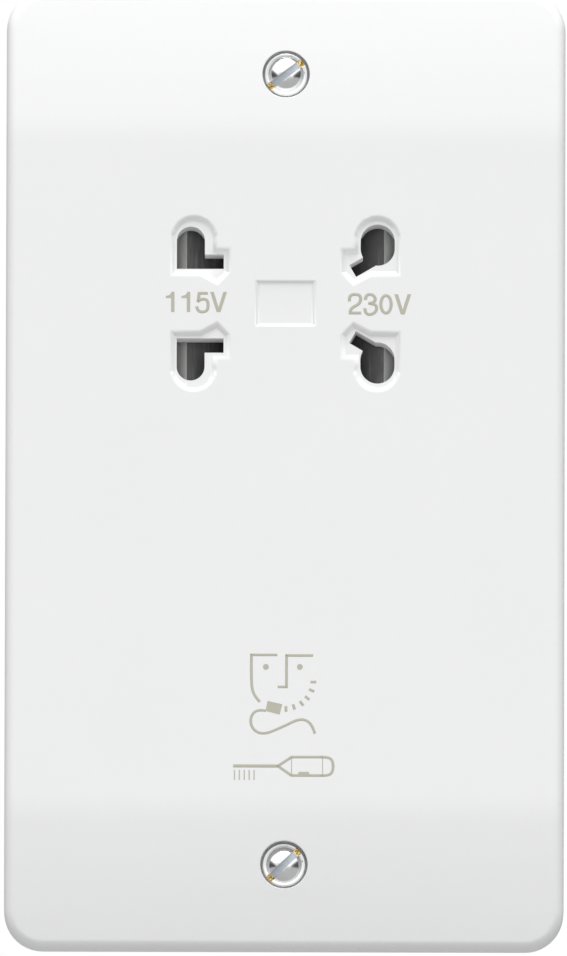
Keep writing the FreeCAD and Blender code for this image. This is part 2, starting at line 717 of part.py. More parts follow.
leaf = new_body("switch_leaf")
shown.append(leaf)
dimple = LEAF_FRONT + " - ridge_rise"
leaf_start = "-block_half_width - tag_overhang"
pad(leaf, "XY", [[
    (leaf_start, LEAF_FRONT),
    ("-dimple_half_width", LEAF_FRONT),
    ("0", dimple),
    ("dimple_half_width", LEAF_FRONT),
    ("leaf_end", LEAF_FRONT),
    ("leaf_end", LEAF_BACK),
    ("dimple_half_width", LEAF_BACK),
    ("0", dimple + " + leaf_thickness"),
    ("-dimple_half_width", LEAF_BACK),
    (leaf_start, LEAF_BACK),
]], low + "leaf_width / 2", high + "leaf_width / 2")
rivet = ("rivet_across", "outlet_height", "rivet_diameter")
pad(leaf, "XZ", [rivet], LEAF_FRONT + " - rivet_height", LEAF_FRONT + " + strip_sink")
LEAF_TAG = "(%s + tag_width / 2)" % leaf_start
leaf_tag = box(leaf_start, leaf_start + " + tag_width", low + "leaf_width / 2 - tag_length", high + "0")
pad(leaf, "XZ", [leaf_tag], LEAF_FRONT, LEAF_BACK)

fixed = new_body("switch_fixed_contact")
shown.append(fixed)
FIXED_TAG = "live_across"
fixed_strip = box("fixed_inner", FIXED_TAG + " + tag_width / 2",
                  low + "leaf_width / 2", high + "leaf_width / 2")
pad(fixed, "XZ", [fixed_strip], FIXED_FRONT, FIXED_BACK)
pad(fixed, "XZ", [rivet], FIXED_BACK + " - strip_sink", FIXED_BACK + " + rivet_height")
pad(fixed, "XZ", [box(FIXED_TAG + " - tag_width / 2", FIXED_TAG + " + tag_width / 2", high + "0",
                      high + "leaf_width / 2 + tag_length / 2")], FIXED_FRONT, FIXED_BACK)


# Transformer: laminated core with two windows, and the strap that holds it together

core = new_body("transformer_core")
shown.append(core)
pad(core, "XZ", [box("-core_width / 2", "core_width / 2", "-core_bottom", CORE_TOP)], "core_front", CORE_BACK)
WINDOW_LOW, WINDOW_HIGH = "(core_limb - core_bottom)", "(%s - core_limb)" % CORE_TOP
panes = [box(*sides, WINDOW_LOW, WINDOW_HIGH) for sides in (
    ("core_limb", "core_width / 2 - core_limb"), ("core_limb - core_width / 2", "-core_limb"))]
cut(core, "XZ", panes, "core_front", CORE_BACK)

clamp = new_body("core_clamp")
shown.append(clamp)
half_strap = [
    ("core_width / 2 - clamp_tab", CORE_TOP),
    ("core_width / 2", CORE_TOP),
    ("core_width / 2", "-core_bottom"),
]
outer_strap = [
    ("core_width / 2 + clamp_thickness", "-core_bottom - clamp_thickness"),
    ("core_width / 2 + clamp_thickness", CORE_TOP + " + clamp_thickness"),
    ("core_width / 2 - clamp_tab", CORE_TOP + " + clamp_thickness"),
]
strap = half_strap + [("-(%s)" % x, z) for x, z in reversed(half_strap)] \
    + [("-(%s)" % x, z) for x, z in reversed(outer_strap)] + outer_strap
pad(clamp, "XZ", [strap], CORE_MIDDLE + " - clamp_width / 2", CORE_MIDDLE + " + clamp_width / 2")


# Bobbin round the centre limb, with a flange at each end and one between the windings

TUBE_X, TUBE_Y = "(core_limb + bobbin_gap)", "(core_stack / 2 + bobbin_gap)"
WALL_X, WALL_Y = "(%s + bobbin_wall)" % TUBE_X, "(%s + bobbin_wall)" % TUBE_Y
FLANGE_X = "(core_width / 2 - core_limb - flange_gap)"
FLANGE_Y = "(%s + %s - %s)" % (TUBE_Y, FLANGE_X, TUBE_X)
BOBBIN_LOW, BOBBIN_HIGH = "(%s + bobbin_gap)" % WINDOW_LOW, "(%s - bobbin_gap)" % WINDOW_HIGH
BOBBIN_MIDDLE = "(%s + %s) / 2" % (BOBBIN_LOW, BOBBIN_HIGH)
PRIMARY = (BOBBIN_LOW + " + flange_thickness", BOBBIN_MIDDLE + " - flange_thickness / 2")
SECONDARY = (BOBBIN_MIDDLE + " + flange_thickness / 2", BOBBIN_HIGH + " - flange_thickness")


def ring(half_x, half_y):
    return box("-" + half_x, half_x, "%s - %s" % (CORE_MIDDLE, half_y), "%s + %s" % (CORE_MIDDLE, half_y))


bobbin = new_body("bobbin")
shown.append(bobbin)
pad(bobbin, "XY", [ring(WALL_X, WALL_Y)], BOBBIN_LOW, BOBBIN_HIGH)
for flange_low, flange_high in (
    (BOBBIN_LOW, PRIMARY[0]),
    (PRIMARY[1], SECONDARY[0]),
    (SECONDARY[1], BOBBIN_HIGH),
):
    pad(bobbin, "XY", [ring(FLANGE_X, FLANGE_Y)], flange_low, flange_high)
cut(bobbin, "XY", [ring(TUBE_X, TUBE_Y)], BOBBIN_LOW, BOBBIN_HIGH)

COIL_X, COIL_Y = "(%s - winding_setback)" % FLANGE_X, "(%s - winding_setback)" % FLANGE_Y
for label, span in (("primary_winding", PRIMARY), ("secondary_winding", SECONDARY)):
    coil = new_body(label)
    shown.append(coil)
    pad(coil, "XY", [ring(COIL_X, COIL_Y)], *span)
    coil_side = value(COIL_X)
    round_edges(coil, "winding_corner", lambda middle, heading: near(abs(middle.x), coil_side)
                and abs(heading.z) > 1)
    cut(coil, "XY", [ring(WALL_X, WALL_Y)], *span)

COIL_FRONT = "(%s - %s)" % (CORE_MIDDLE, COIL_Y)
CUTOUT_HEIGHT = "((%s + %s) / 2)" % PRIMARY
cutout = new_body("thermal_cutout")
shown.append(cutout)
pad(cutout, "XZ", [box("-cutout_width / 2", "cutout_width / 2", CUTOUT_HEIGHT + " - cutout_height / 2",
                       CUTOUT_HEIGHT + " + cutout_height / 2")], COIL_FRONT + " - cutout_depth", COIL_FRONT)
round_edges(cutout, "cutout_round", lambda middle, heading: abs(heading.x) > 1)

# Solder tags on the outer faces of the bobbin's end flanges
FLANGE_FRONT = "(%s - %s)" % (CORE_MIDDLE, FLANGE_Y)
TAG_FRONT, TAG_BACK = FLANGE_FRONT + " - solder_tag_out", FLANGE_FRONT + " + solder_tag_in"
TAG_UNDER = "(%s - solder_tag_thickness)" % BOBBIN_LOW
TAG_OVER = "(%s + solder_tag_thickness)" % BOBBIN_HIGH
solder_tags = []
for label, across, bottom, top in (
    ("cutout_tag", "tag_across", TAG_UNDER, BOBBIN_LOW),
    ("neutral_tag", "-tag_across", TAG_UNDER, BOBBIN_LOW),
    ("tag_115v", "-tag_across", BOBBIN_HIGH, TAG_OVER),
    ("tag_230v", "tag_across", BOBBIN_HIGH, TAG_OVER),
    ("common_tag", "common_tag_across", BOBBIN_HIGH, TAG_OVER),
):
    tag = new_body(label)
    sides = (across + " - solder_tag_width / 2", across + " + solder_tag_width / 2")
    pad(tag, "XZ", [box(*sides, bottom, top)], TAG_FRONT, TAG_BACK)
    solder_tags.append(tag)
tag_group = document.addObject("Part::Compound", "bobbin_tags")
tag_group.Links = solder_tags
shown.append(tag_group)


# Rear housing: a stepped box, deep behind the transformer and shallow behind the contacts

housing = new_body("rear_housing")
shown.append(housing)
sides = ("-housing_half_width", "housing_half_width")
pad(housing, "XZ", [box(*sides, "-housing_half_height", "housing_half_height")], INNER, "shallow_back")
deep_part = box(*sides, "-housing_half_height", "step_height")
pad(housing, "XZ", [deep_part], "shallow_back - weld_depth", "deep_back")
outer_x, outer_z = value("housing_half_width"), value("housing_half_height")
round_edges(housing, "housing_corner", lambda middle, heading: near(abs(middle.x), outer_x)
            and near(abs(middle.z), outer_z) and abs(heading.y) > 1)
back_y = value("deep_back")
round_edges(housing, "back_round", lambda middle, heading: near(middle.y, back_y))
hollow = ("housing_wall - housing_half_width", "housing_half_width - housing_wall")
base_z, crown_z = "housing_wall - housing_half_height", "housing_half_height - housing_wall"
SHELF = "(%s - housing_wall)" % TERMINAL_LOW
SHELF_FRONT = "(%s - housing_wall)" % TERMINAL_FRONT
cut(housing, "XZ", [box(*hollow, base_z, crown_z)], INNER, SHELF_FRONT)
cut(housing, "XZ", [box(*hollow, base_z, SHELF)], SHELF_FRONT, SHALLOW_INNER)
cut(housing, "XZ", [box(*hollow, base_z, "step_height - housing_wall")], SHALLOW_INNER, DEEP_INNER)

# Terminal pockets, open to the back and the top, with a slot for each tail
LANE = "(housing_half_width - housing_wall - lead_lane)"
NEUTRAL = "(%s - terminal_width / 2 + tag_width / 2 + terminal_gap / 2)" % LANE
stations = (("live_across", "live_across"), ("-earth_across", None), ("-" + NEUTRAL, "-" + LANE))
room = "(terminal_width / 2 + terminal_gap)"
bays = [box("%s - %s" % (x, room), "%s + %s" % (x, room), TERMINAL_LOW, "housing_half_height + cut_clear")
        for x, _ in stations]
cut(housing, "XZ", bays, TERMINAL_FRONT, "shallow_back")
tail_room = "(tail_thickness / 2 + terminal_gap)"
tails = [box(tail + " - tag_width / 2 - terminal_gap", tail + " + tag_width / 2 + terminal_gap",
             "%s - %s" % (TAIL_MIDDLE, tail_room), "%s + %s" % (TAIL_MIDDLE, tail_room))
         for _, tail in stations if tail]
cut(housing, "XY", tails, SHELF, TERMINAL_LOW)

# Lugs for the screws into the plate, and posts that hold what lies inside
end_wall = "(housing_half_height - housing_wall / 2)"
arms = [box(x + "lug_across - lug_diameter / 2", x + "lug_across + lug_diameter / 2",
            *((end_wall, LUG_UP) if not z else ("-" + LUG_UP, "-" + end_wall))) for x, z in corners]
pad(housing, "XZ", arms, LUG_FRONT, LUG_BACK)
pad(housing, "XZ", [(x, z, "lug_diameter") for x, z in lugs], LUG_FRONT, LUG_BACK)
cut(housing, "XZ", [(x, z, "lug_hole") for x, z in lugs], LUG_FRONT, LUG_BACK)
pad(housing, "XZ", [post(x, z, "pillar_width") for x, z in pillars], CORE_BACK, DEEP_INNER + " + weld_depth")
POST_ROOT = SHALLOW_INNER + " + weld_depth"
tray_posts = [post(x + "post_across", base + "post_rise", "post_width") for x in ("", "-") for base in both]
pad(housing, "XZ", tray_posts, TRAY_BACK, POST_ROOT)
chamber_middle, chamber_up = "(chamber_inner + chamber_outer) / 2", "(chamber_low + chamber_high) / 2"
strip_posts = [post(x + chamber_middle, base + chamber_up, "small_post") for x in ("", "-") for base in both]
pad(housing, "XZ", strip_posts, STRIP_BACK, POST_ROOT)
leaf_post = "-(block_half_width + leaf_boss_inner) / 2"
pad(housing, "XZ", [post(leaf_post, "outlet_height", "small_post")], LEAF_BACK, POST_ROOT)
pad(housing, "XZ", [post(FIXED_TAG, "outlet_height", "small_post")], FIXED_BACK, POST_ROOT)


# Housing screws: through each lug into the plate's boss

housing_screws = []
screw_tip = "(%s - pilot_depth + pilot_clear)" % INNER
lug_outline = [
    ("0", screw_tip),
    ("housing_screw_thread / 2", screw_tip),
    ("housing_screw_thread / 2", LUG_BACK),
    ("housing_screw_head / 2", LUG_BACK),
    ("housing_screw_head / 2", LUG_BACK + " + housing_head_height"),
    ("0", LUG_BACK + " + housing_head_height"),
]
for label, (x, z) in zip(("upper_right", "lower_right", "upper_left", "lower_left"), lugs):
    screw = slotted_screw("housing_screw_" + label, lug_outline, "housing_screw_head",
                          LUG_BACK + " + housing_head_height", "housing_drive_slot", "drive_depth", False)
    screw.setExpression("Placement.Base.x", bound(x))
    screw.setExpression("Placement.Base.z", bound(z))
    housing_screws.append(screw)
housing_group = document.addObject("Part::Compound", "housing_screws")
housing_group.Links = housing_screws
shown.append(housing_group)


# Pillar terminals in the housing's pockets, each with a clamping screw set back from the bore

BORE_Y = "(%s + terminal_depth - terminal_bore / 2 - bore_setback)" % TERMINAL_FRONT
TERMINAL_BACK = "(%s + terminal_depth)" % TERMINAL_FRONT
TERMINAL_MIDDLE = "(%s + terminal_height / 2)" % TERMINAL_LOW
grip_outline = [
    ("0", BORE_Y + " + terminal_bore / 2 + terminal_gap"),
    ("terminal_screw_thread / 2", BORE_Y + " + terminal_bore / 2 + terminal_gap"),
    ("terminal_screw_thread / 2", TERMINAL_BACK + " + terminal_head_height"),
    ("0", TERMINAL_BACK + " + terminal_head_height"),
]
terminal_screws = []
for name, (x, tail) in zip(("live", "earth", "neutral"), stations):
    terminal = new_body("terminal_" + name)
    shown.append(terminal)
    walls = (x + " - terminal_width / 2", x + " + terminal_width / 2")
    pad(terminal, "XZ", [box(*walls, TERMINAL_LOW, TERMINAL_TOP)], TERMINAL_FRONT, TERMINAL_BACK)
    cut(terminal, "XY", [(x, BORE_Y, "terminal_bore")], TERMINAL_LOW, TERMINAL_TOP)
    tapping = (x, TERMINAL_MIDDLE, "terminal_screw_thread + terminal_gap")
    cut(terminal, "XZ", [tapping], BORE_Y, TERMINAL_BACK)
    if tail:
        foot = box(tail + " - tag_width / 2", tail + " + tag_width / 2",
                   TAIL_END, TERMINAL_LOW + " + weld_depth")
        pad(terminal, "XZ", [foot], TAIL_MIDDLE + " - tail_thickness / 2",
            TAIL_MIDDLE + " + tail_thickness / 2")
    screw = slotted_screw("terminal_screw_" + name, grip_outline, "terminal_screw_thread",
                          TERMINAL_BACK + " + terminal_head_height",
                          "terminal_drive_slot", "drive_depth", False)
    screw.setExpression("Placement.Base.x", bound(x))
    screw.setExpression("Placement.Base.z", bound(TERMINAL_MIDDLE))
    terminal_screws.append(screw)
terminal_group = document.addObject("Part::Compound", "terminal_screws")
terminal_group.Links = terminal_screws
shown.append(terminal_group)


# Inner wires: straight runs joined by tangent arcs, each end flat against its tag

def lead(label, route):
    path = [FreeCAD.Vector(*[value(place) for place in point]) for point in route]
    bend_radius, thickness = value("lead_bend"), value("lead_diameter")
    edges, start = [], path[0]
    for before, corner, after in zip(path, path[1:], path[2:]):
        back, ahead = (before - corner).normalize(), (after - corner).normalize()
        half = back.getAngle(ahead) / 2
        setback = bend_radius / math.tan(half)
        first, last = corner + back * setback, corner + ahead * setback
        middle = corner + (back + ahead).normalize() * (bend_radius / math.sin(half) - bend_radius)
        edges += [Part.LineSegment(start, first).toShape(), Part.Arc(first, middle, last).toShape()]
        start = last
    edges.append(Part.LineSegment(start, path[-1]).toShape())
    spine = Part.Wire(edges)
    facing = FreeCAD.Rotation(FreeCAD.Vector(0, 0, 1), path[1] - path[0])
    turns = [math.radians(45 + 90 * step) for step in range(5)]
    rim = [FreeCAD.Vector(math.cos(angle), math.sin(angle), 0) * (thickness / 2) for angle in turns]
    section = Part.makePolygon([path[0] + facing.multVec(point) for point in rim])
    piece = document.addObject("Part::Feature", label)
    piece.Shape = spine.makePipe(Part.Face(section))
    expected = thickness ** 2 / 2 * spine.Length
    if abs(piece.Shape.Volume - expected) > 0.01 * expected:
        raise ValueError("%s is not an even wire" % label)
    piece.Label = label
    shown.append(piece)


# Wires cross between the carrier and the core, and run down in front of the coils
CROSSING = "((%s + clamp_thickness + outlet_height - %s) / 2)" % (CORE_TOP, GUARD_HALF)
BEHIND = "(%s + lead_layer + lead_diameter)" % LEAF_BACK
CUTOUT_MIDDLE = "(%s - cutout_depth / 2)" % COIL_FRONT
STRIP_MIDDLE = "(%s + strip_thickness / 2)" % BLOCK_BACK
LEAF_MIDDLE = "(%s + leaf_thickness / 2)" % LEAF_FRONT
FIXED_MIDDLE = "(%s + strip_thickness / 2)" % FIXED_FRONT
fixed_end = high + "leaf_width / 2 + tag_length / 2"
leaf_tag_end = low + "leaf_width / 2 - tag_length"
lead("lead_live", [
    ("live_across", TAIL_MIDDLE, TAIL_END),
    ("live_across", TAIL_MIDDLE, "%s - (%s - (%s)) / 4" % (TAIL_END, TAIL_END, fixed_end)),
    ("live_across", FIXED_MIDDLE, "%s - (%s - (%s)) * 3 / 4" % (TAIL_END, TAIL_END, fixed_end)),
    ("live_across", FIXED_MIDDLE, fixed_end),
])
lead("lead_switch", [
    (LEAF_TAG, LEAF_MIDDLE, leaf_tag_end),
    (LEAF_TAG, LEAF_MIDDLE, CROSSING),
    (LEAF_TAG, CUTOUT_MIDDLE, CROSSING),
    (LEAF_TAG, CUTOUT_MIDDLE, CUTOUT_HEIGHT),
    ("-cutout_width / 2", CUTOUT_MIDDLE, CUTOUT_HEIGHT),
])
lead("lead_cutout", [
    ("cutout_width / 2", CUTOUT_MIDDLE, CUTOUT_HEIGHT),
    ("tag_across", CUTOUT_MIDDLE, CUTOUT_HEIGHT),
    ("tag_across", CUTOUT_MIDDLE, BOBBIN_LOW),
])
neutral_low = "(%s - lead_bend - lead_diameter / 2)" % TAG_UNDER
lead("lead_neutral", [
    ("-" + LANE, TAIL_MIDDLE, TAIL_END),
    ("-" + LANE, TAIL_MIDDLE, CROSSING),
    ("-" + LANE, CUTOUT_MIDDLE, CROSSING),
    ("-" + LANE, CUTOUT_MIDDLE, neutral_low),
    ("-tag_across", CUTOUT_MIDDLE, neutral_low),
    ("-tag_across", CUTOUT_MIDDLE, TAG_UNDER),
])
for name, across in (("115v", "-tag_across"), ("230v", "tag_across")):
    lead("lead_" + name, [
        (across, CUTOUT_MIDDLE, TAG_OVER),
        (across, CUTOUT_MIDDLE, CROSSING),
        (across, STRIP_MIDDLE, CROSSING),
        (across, STRIP_MIDDLE, TAG_FOOT),
    ])
common_up = high + chamber_up
lead("lead_common", [
    ("common_tag_across", CUTOUT_MIDDLE, TAG_OVER),
    ("common_tag_across", CUTOUT_MIDDLE, CROSSING),
    ("common_tag_across", BEHIND, CROSSING),
    ("common_tag_across", BEHIND, common_up),
    ("common_tag_across", STRIP_BACK, common_up),
])


# Every piece must be sound before it is written

document.recompute()
for item in document.Objects:
    if "Invalid" in item.State or "Error" in item.State:
        raise ValueError("%s failed: %s" % (item.Label, item.State))
os.makedirs("parts", exist_ok=True)
for piece in shown:
    if piece.Shape.isNull() or not piece.Shape.isValid():
        raise ValueError("%s has no sound shape" % piece.Label)
for piece in shown:
    piece.Shape.exportStep("parts/%s.step" % piece.Label)
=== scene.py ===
import math

import bmesh
import bpy
from mathutils import Matrix, Vector


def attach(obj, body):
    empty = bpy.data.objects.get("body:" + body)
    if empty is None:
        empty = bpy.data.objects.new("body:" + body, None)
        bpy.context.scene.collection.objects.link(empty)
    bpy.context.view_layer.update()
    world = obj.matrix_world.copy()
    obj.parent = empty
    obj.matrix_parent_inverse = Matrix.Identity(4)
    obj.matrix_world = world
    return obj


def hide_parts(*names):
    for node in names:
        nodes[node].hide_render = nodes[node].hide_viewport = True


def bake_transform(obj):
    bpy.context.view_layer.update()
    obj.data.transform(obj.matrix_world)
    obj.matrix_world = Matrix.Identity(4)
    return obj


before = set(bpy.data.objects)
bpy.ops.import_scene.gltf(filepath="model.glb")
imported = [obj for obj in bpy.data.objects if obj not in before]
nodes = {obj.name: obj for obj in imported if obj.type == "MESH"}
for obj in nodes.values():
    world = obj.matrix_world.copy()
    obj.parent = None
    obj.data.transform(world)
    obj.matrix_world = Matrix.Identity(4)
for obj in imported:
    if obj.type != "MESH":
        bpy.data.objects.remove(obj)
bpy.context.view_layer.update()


# Front plate: one white urea moulding from a polished tool, flat in the middle, with ends that fall away
# and soft-edged recesses round the pin apertures. Two screws hold it, and all behind it, to a wall box.

class Shade:
    """A value in a finish: sums on it add Math nodes, and make adds any other node."""

    def __init__(self, tree, socket=None):
        self.tree = tree
        self.socket = socket

    def make(self, kind, settings, sockets, output=0):
        node = self.tree.nodes.new(kind)
        for name, setting in settings.items():
            if name == "stops":
                ends = node.color_ramp.elements
                ends[0].position, ends[0].color = setting[0]
                ends[-1].position, ends[-1].color = setting[-1]
                for place, colour in setting[1:-1]:
                    ends.new(place).color = colour
            else:
                setattr(node, name, setting)
        for name, given in sockets.items():
            if isinstance(given, Shade):
                self.tree.links.new(given.socket, node.inputs[name])
            else:
                node.inputs[name].default_value = given
        return Shade(self.tree, node.outputs[output])

    def count(self, operation, first, second):
        return self.make("ShaderNodeMath", {"operation": operation}, {0: first, 1: second})

    def __add__(self, other):
        return self.count("ADD", self, other)

    def __sub__(self, other):
        return self.count("SUBTRACT", self, other)

    def __mul__(self, other):
        return self.count("MULTIPLY", self, other)

    def __gt__(self, other):
        return self.count("GREATER_THAN", self, other)

    __radd__ = __add__
    __rmul__ = __mul__


def new_finish(name):
    finish = bpy.data.materials.new(name)
    finish.use_nodes = True
    surface = finish.node_tree.nodes["Principled BSDF"]
    place = Shade(finish.node_tree).make("ShaderNodeTexCoord", {}, {}, "Object")
    return finish, surface, place


def feed(surface, **shades):
    for name, shade in shades.items():
        shade.tree.links.new(shade.socket, surface.inputs[name.replace("_", " ")])


def speckle(place, scale, detail=2.0):
    return place.make("ShaderNodeTexNoise", {}, {"Vector": place, "Scale": scale, "Detail": detail})


def blend(factor, first, second):
    return factor.make("ShaderNodeMix", {"data_type": "RGBA"}, {0: factor, 6: first, 7: second}, 2)


def relief(height, depth, strength=1.0):
    return height.make("ShaderNodeBump", {}, {"Strength": strength, "Distance": depth, "Height": height})


def pick(piece):
    bpy.ops.object.select_all(action="DESELECT")
    piece.select_set(True)
    bpy.context.view_layer.objects.active = piece


def merged_copy(node_name, piece_name):
    """The node's form as one joined skin, its flat faces made whole."""
    piece = bpy.data.objects.new(piece_name, nodes[node_name].data.copy())
    bpy.context.scene.collection.objects.link(piece)
    pick(piece)
    bpy.ops.object.mode_set(mode="EDIT")
    bpy.ops.mesh.select_all(action="SELECT")
    bpy.ops.mesh.remove_doubles(threshold=0.000003)
    bpy.ops.mesh.dissolve_limited(angle_limit=math.radians(0.3))
    bpy.ops.object.mode_set(mode="OBJECT")
    return piece


def select_edges(piece, wanted):
    bpy.ops.object.mode_set(mode="EDIT")
    bpy.ops.mesh.select_mode(type="EDGE")
    bpy.ops.mesh.select_all(action="DESELECT")
    mesh = bmesh.from_edit_mesh(piece.data)
    for edge in mesh.edges:
        if len(edge.link_faces) == 2:
            edge.select_set(wanted(edge))
    bmesh.update_edit_mesh(piece.data)


def shade_evenly(piece, smooth_below=40):
    pick(piece)
    bpy.ops.object.shade_smooth_by_angle(angle=math.radians(smooth_below))
    even = piece.modifiers.new("even", "WEIGHTED_NORMAL")
    even.keep_sharp = True
    bpy.ops.object.modifier_apply(modifier="even")


def fit(piece, finish, body, slot, *replaced):
    piece.data.materials.clear()
    piece.data.materials.append(finish)
    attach(piece, body)
    if replaced:
        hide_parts(*replaced)


plate = merged_copy("front_plate", "plate_moulding")
BADGE_SIDE, SCREW_HEIGHT, COUNTERBORE = 0.006, 0.0603, 0.0036
RECESS_DEEPEST, BADGE_DEEPEST, COUNTERBORE_DEEPEST = -0.0094, -0.009, -0.0082
FLAT_MIDDLE = 0.045


def recess_rim(edge):
    """Where a sloping recess wall meets the face, or the badge's own floor."""
    facings = sorted(abs(face.normal.y) for face in edge.link_faces)
    middle = (edge.verts[0].co + edge.verts[1].co) / 2
    in_badge = abs(middle.x) < BADGE_SIDE
    outer = middle.y < (BADGE_DEEPEST if in_badge else RECESS_DEEPEST)
    wall_meets_flat = facings[1] > 0.995 and 0.4 < facings[0] < 0.9
    return wall_meets_flat and outer and abs(middle.z) < FLAT_MIDDLE


def counterbore_rim(edge):
    radii = [math.hypot(point.co.x, abs(point.co.z) - SCREW_HEIGHT) for point in edge.verts]
    at_rim = all(abs(radius - COUNTERBORE) < 0.00006 for radius in radii)
    return at_rim and max(point.co.y for point in edge.verts) < COUNTERBORE_DEEPEST


for chosen, softness in (
        (lambda edge: recess_rim(edge) and abs(edge.verts[0].co.x) > BADGE_SIDE, 0.0003),
        (lambda edge: recess_rim(edge) and abs(edge.verts[0].co.x) < BADGE_SIDE, 0.0002),
        (counterbore_rim, 0.00012)):
    select_edges(plate, chosen)
    bpy.ops.mesh.bevel(offset=softness, segments=5, affect="EDGES", clamp_overlap=False)
    bpy.ops.object.mode_set(mode="OBJECT")

WEB_BACK, DRAFT = -0.0056, 0.00034


def under_aperture_top(edge):
    """The inner edge of an aperture's upper wall, drawn in a little by the tool's draft."""
    inside = all(abs(point.co.y - WEB_BACK) < 0.00005 and 0.0085 < abs(point.co.x) < 0.0175
                 and 0.012 < point.co.z < 0.039 for point in edge.verts)
    return inside and any(abs(face.normal.y) < 0.2 and face.normal.z < -0.45 for face in edge.link_faces)


select_edges(plate, under_aperture_top)
bpy.ops.transform.translate(value=(0, 0, -DRAFT))
bpy.ops.object.mode_set(mode="OBJECT")

# The flat face stands back by the thickness of the ink on it, so that the marks stay within the part's size.
CAD_FACE, INK_FILM = -0.0095, 0.00002
select_edges(plate, lambda edge: max(point.co.y for point in edge.verts) < CAD_FACE + 0.000001)
bpy.ops.transform.translate(value=(0, INK_FILM, 0))
bpy.ops.object.mode_set(mode="OBJECT")
shade_evenly(plate, 18)

urea, surface, place = new_finish("white urea")
cloud = speckle(place, 55.0, 3.0)
fleck = speckle(place, 2600.0)
feed(surface,
     Base_Color=blend(cloud, (0.855, 0.858, 0.862, 1), (0.872, 0.874, 0.876, 1)),
     Roughness=0.34 + cloud * 0.06 + fleck * 0.04,
     Normal=relief(speckle(place, 900.0, 4.0), 0.000012, 0.35))
surface.inputs["IOR"].default_value = 1.5
fit(plate, urea, "socket", "white_urea", "front_plate")


# Printed marks: the two voltages, and the common signs for a shaver and a toothbrush. Each is a film of
# grey-olive ink, pad printed on the plate's flat face and stoved.

FACE = CAD_FACE + INK_FILM
ink, surface, place = new_finish("grey olive ink")
film = speckle(place, 1500.0, 3.0)
feed(surface,
     Base_Color=blend(film, (0.462, 0.455, 0.372, 1), (0.505, 0.496, 0.412, 1)),
     Roughness=0.46 + film * 0.12,
     Normal=relief(film, 0.000004, 0.4))


def drawn_curve(kind, points):
    curve = bpy.data.curves.new("ink", "CURVE")
    curve.resolution_u = 10
    line = curve.splines.new(kind)
    line.points.add(len(points) - 1)
    for point, (across, along) in zip(line.points, points):
        point.co = (across / 1000, along / 1000, 0, 1)
    if kind == "NURBS":
        line.order_u = 4
        line.use_endpoint_u = True
    return curve, line


def as_mesh(curve, flatten):
    piece = bpy.data.objects.new("ink", curve)
    bpy.context.scene.collection.objects.link(piece)
    pick(piece)
    bpy.ops.object.convert(target="MESH")
    piece = bpy.context.object
    piece.scale = (1, 1, flatten)
    bpy.ops.object.transform_apply(location=False, rotation=False, scale=True)
    return piece


def stroke(half_width, points, kind="POLY"):
    """A line of even width, swept round and pressed flat into a film. Sizes are in millimetres."""
    curve = drawn_curve(kind, points)[0]
    curve.dimensions = "3D"
    curve.bevel_depth = half_width / 1000
    curve.bevel_resolution = 3
    curve.use_fill_caps = True
    return as_mesh(curve, INK_FILM / curve.bevel_depth)


def patch(points):
    """A filled outline."""
    curve, line = drawn_curve("POLY", points)
    curve.dimensions = "2D"
    curve.fill_mode = "BOTH"
    curve.extrude = INK_FILM
    line.use_cyclic_u = True
    return as_mesh(curve, 1)


def oval(across, along, half_wide, half_tall, sides=32):
    turns = [math.radians(360 * step / sides) for step in range(sides + 1)]
    return [(across + half_wide * math.cos(turn), along + half_tall * math.sin(turn)) for turn in turns]


def printed(name, pieces):
    """The pieces of one mark, joined and stood on the plate's face."""
    bpy.ops.object.select_all(action="DESELECT")
    for piece in pieces:
        piece.select_set(True)
    bpy.context.view_layer.objects.active = pieces[0]
    bpy.ops.object.join()
    mark = pieces[0]
    mark.name = name
    mark.rotation_euler = (math.radians(90), 0, 0)
    mark.location = (0, FACE, 0)
    bpy.ops.object.transform_apply(location=True, rotation=True, scale=True)
    fit(mark, ink, "socket", "white_urea")


FIGURE_HEIGHT, FIGURE_STROKE = 3.08, 0.235


def figure(character, left, low):
    """A figure of a plain upright face, drawn in a square of one and set to the printed height."""
    def sized(points):
        return [(left + across * FIGURE_HEIGHT, low + along * FIGURE_HEIGHT) for across, along in points]

    def line(*points):
        return stroke(FIGURE_STROKE, sized(points))

    def bow(*points):
        return stroke(FIGURE_STROKE, sized(points), "NURBS")

    if character == "1":
        return [patch(sized([(0.43, 0), (0.265, 0), (0.265, 0.69), (0, 0.69), (0, 0.79), (0.13, 0.82),
                             (0.24, 0.89), (0.29, 1), (0.43, 1)]))]
    if character == "2":
        return [bow((0.075, 0.64), (0.05, 0.96), (0.34, 1.0), (0.64, 0.96), (0.63, 0.58), (0.4, 0.42),
                    (0.14, 0.3), (0.1, 0.09)), line((0.04, 0.066), (0.65, 0.066))]
    if character == "3":
        return [bow((0.085, 0.71), (0.08, 1.03), (0.63, 1.05), (0.61, 0.54), (0.22, 0.55)),
                bow((0.3, 0.52), (0.69, 0.55), (0.71, -0.05), (0.04, -0.07), (0.065, 0.3))]
    if character == "5":
        return [line((0.61, 0.932), (0.23, 0.932)), line((0.19, 0.99), (0.13, 0.54)),
                bow((0.1, 0.49), (0.2, 0.64), (0.6, 0.7), (0.63, 0.32), (0.6, -0.02), (0.1, -0.02),
                    (0.065, 0.28))]
    if character == "0":
        return [stroke(FIGURE_STROKE, sized(oval(0.33, 0.5, 0.255, 0.435)))]
    return [patch(sized([(-0.01, 1), (0.17, 1), (0.405, 0.24), (0.64, 1), (0.82, 1), (0.5, 0), (0.31, 0)]))]


for name, low, row in (
        ("mark_115v", 23.86, (("1", -18.2), ("1", -15.81), ("5", -13.68), ("V", -11.42))),
        ("mark_230v", 23.58, (("2", 9.5), ("3", 11.9), ("0", 14.27), ("V", 16.58)))):
    printed(name, [piece for character, left in row for piece in figure(character, left, low)])

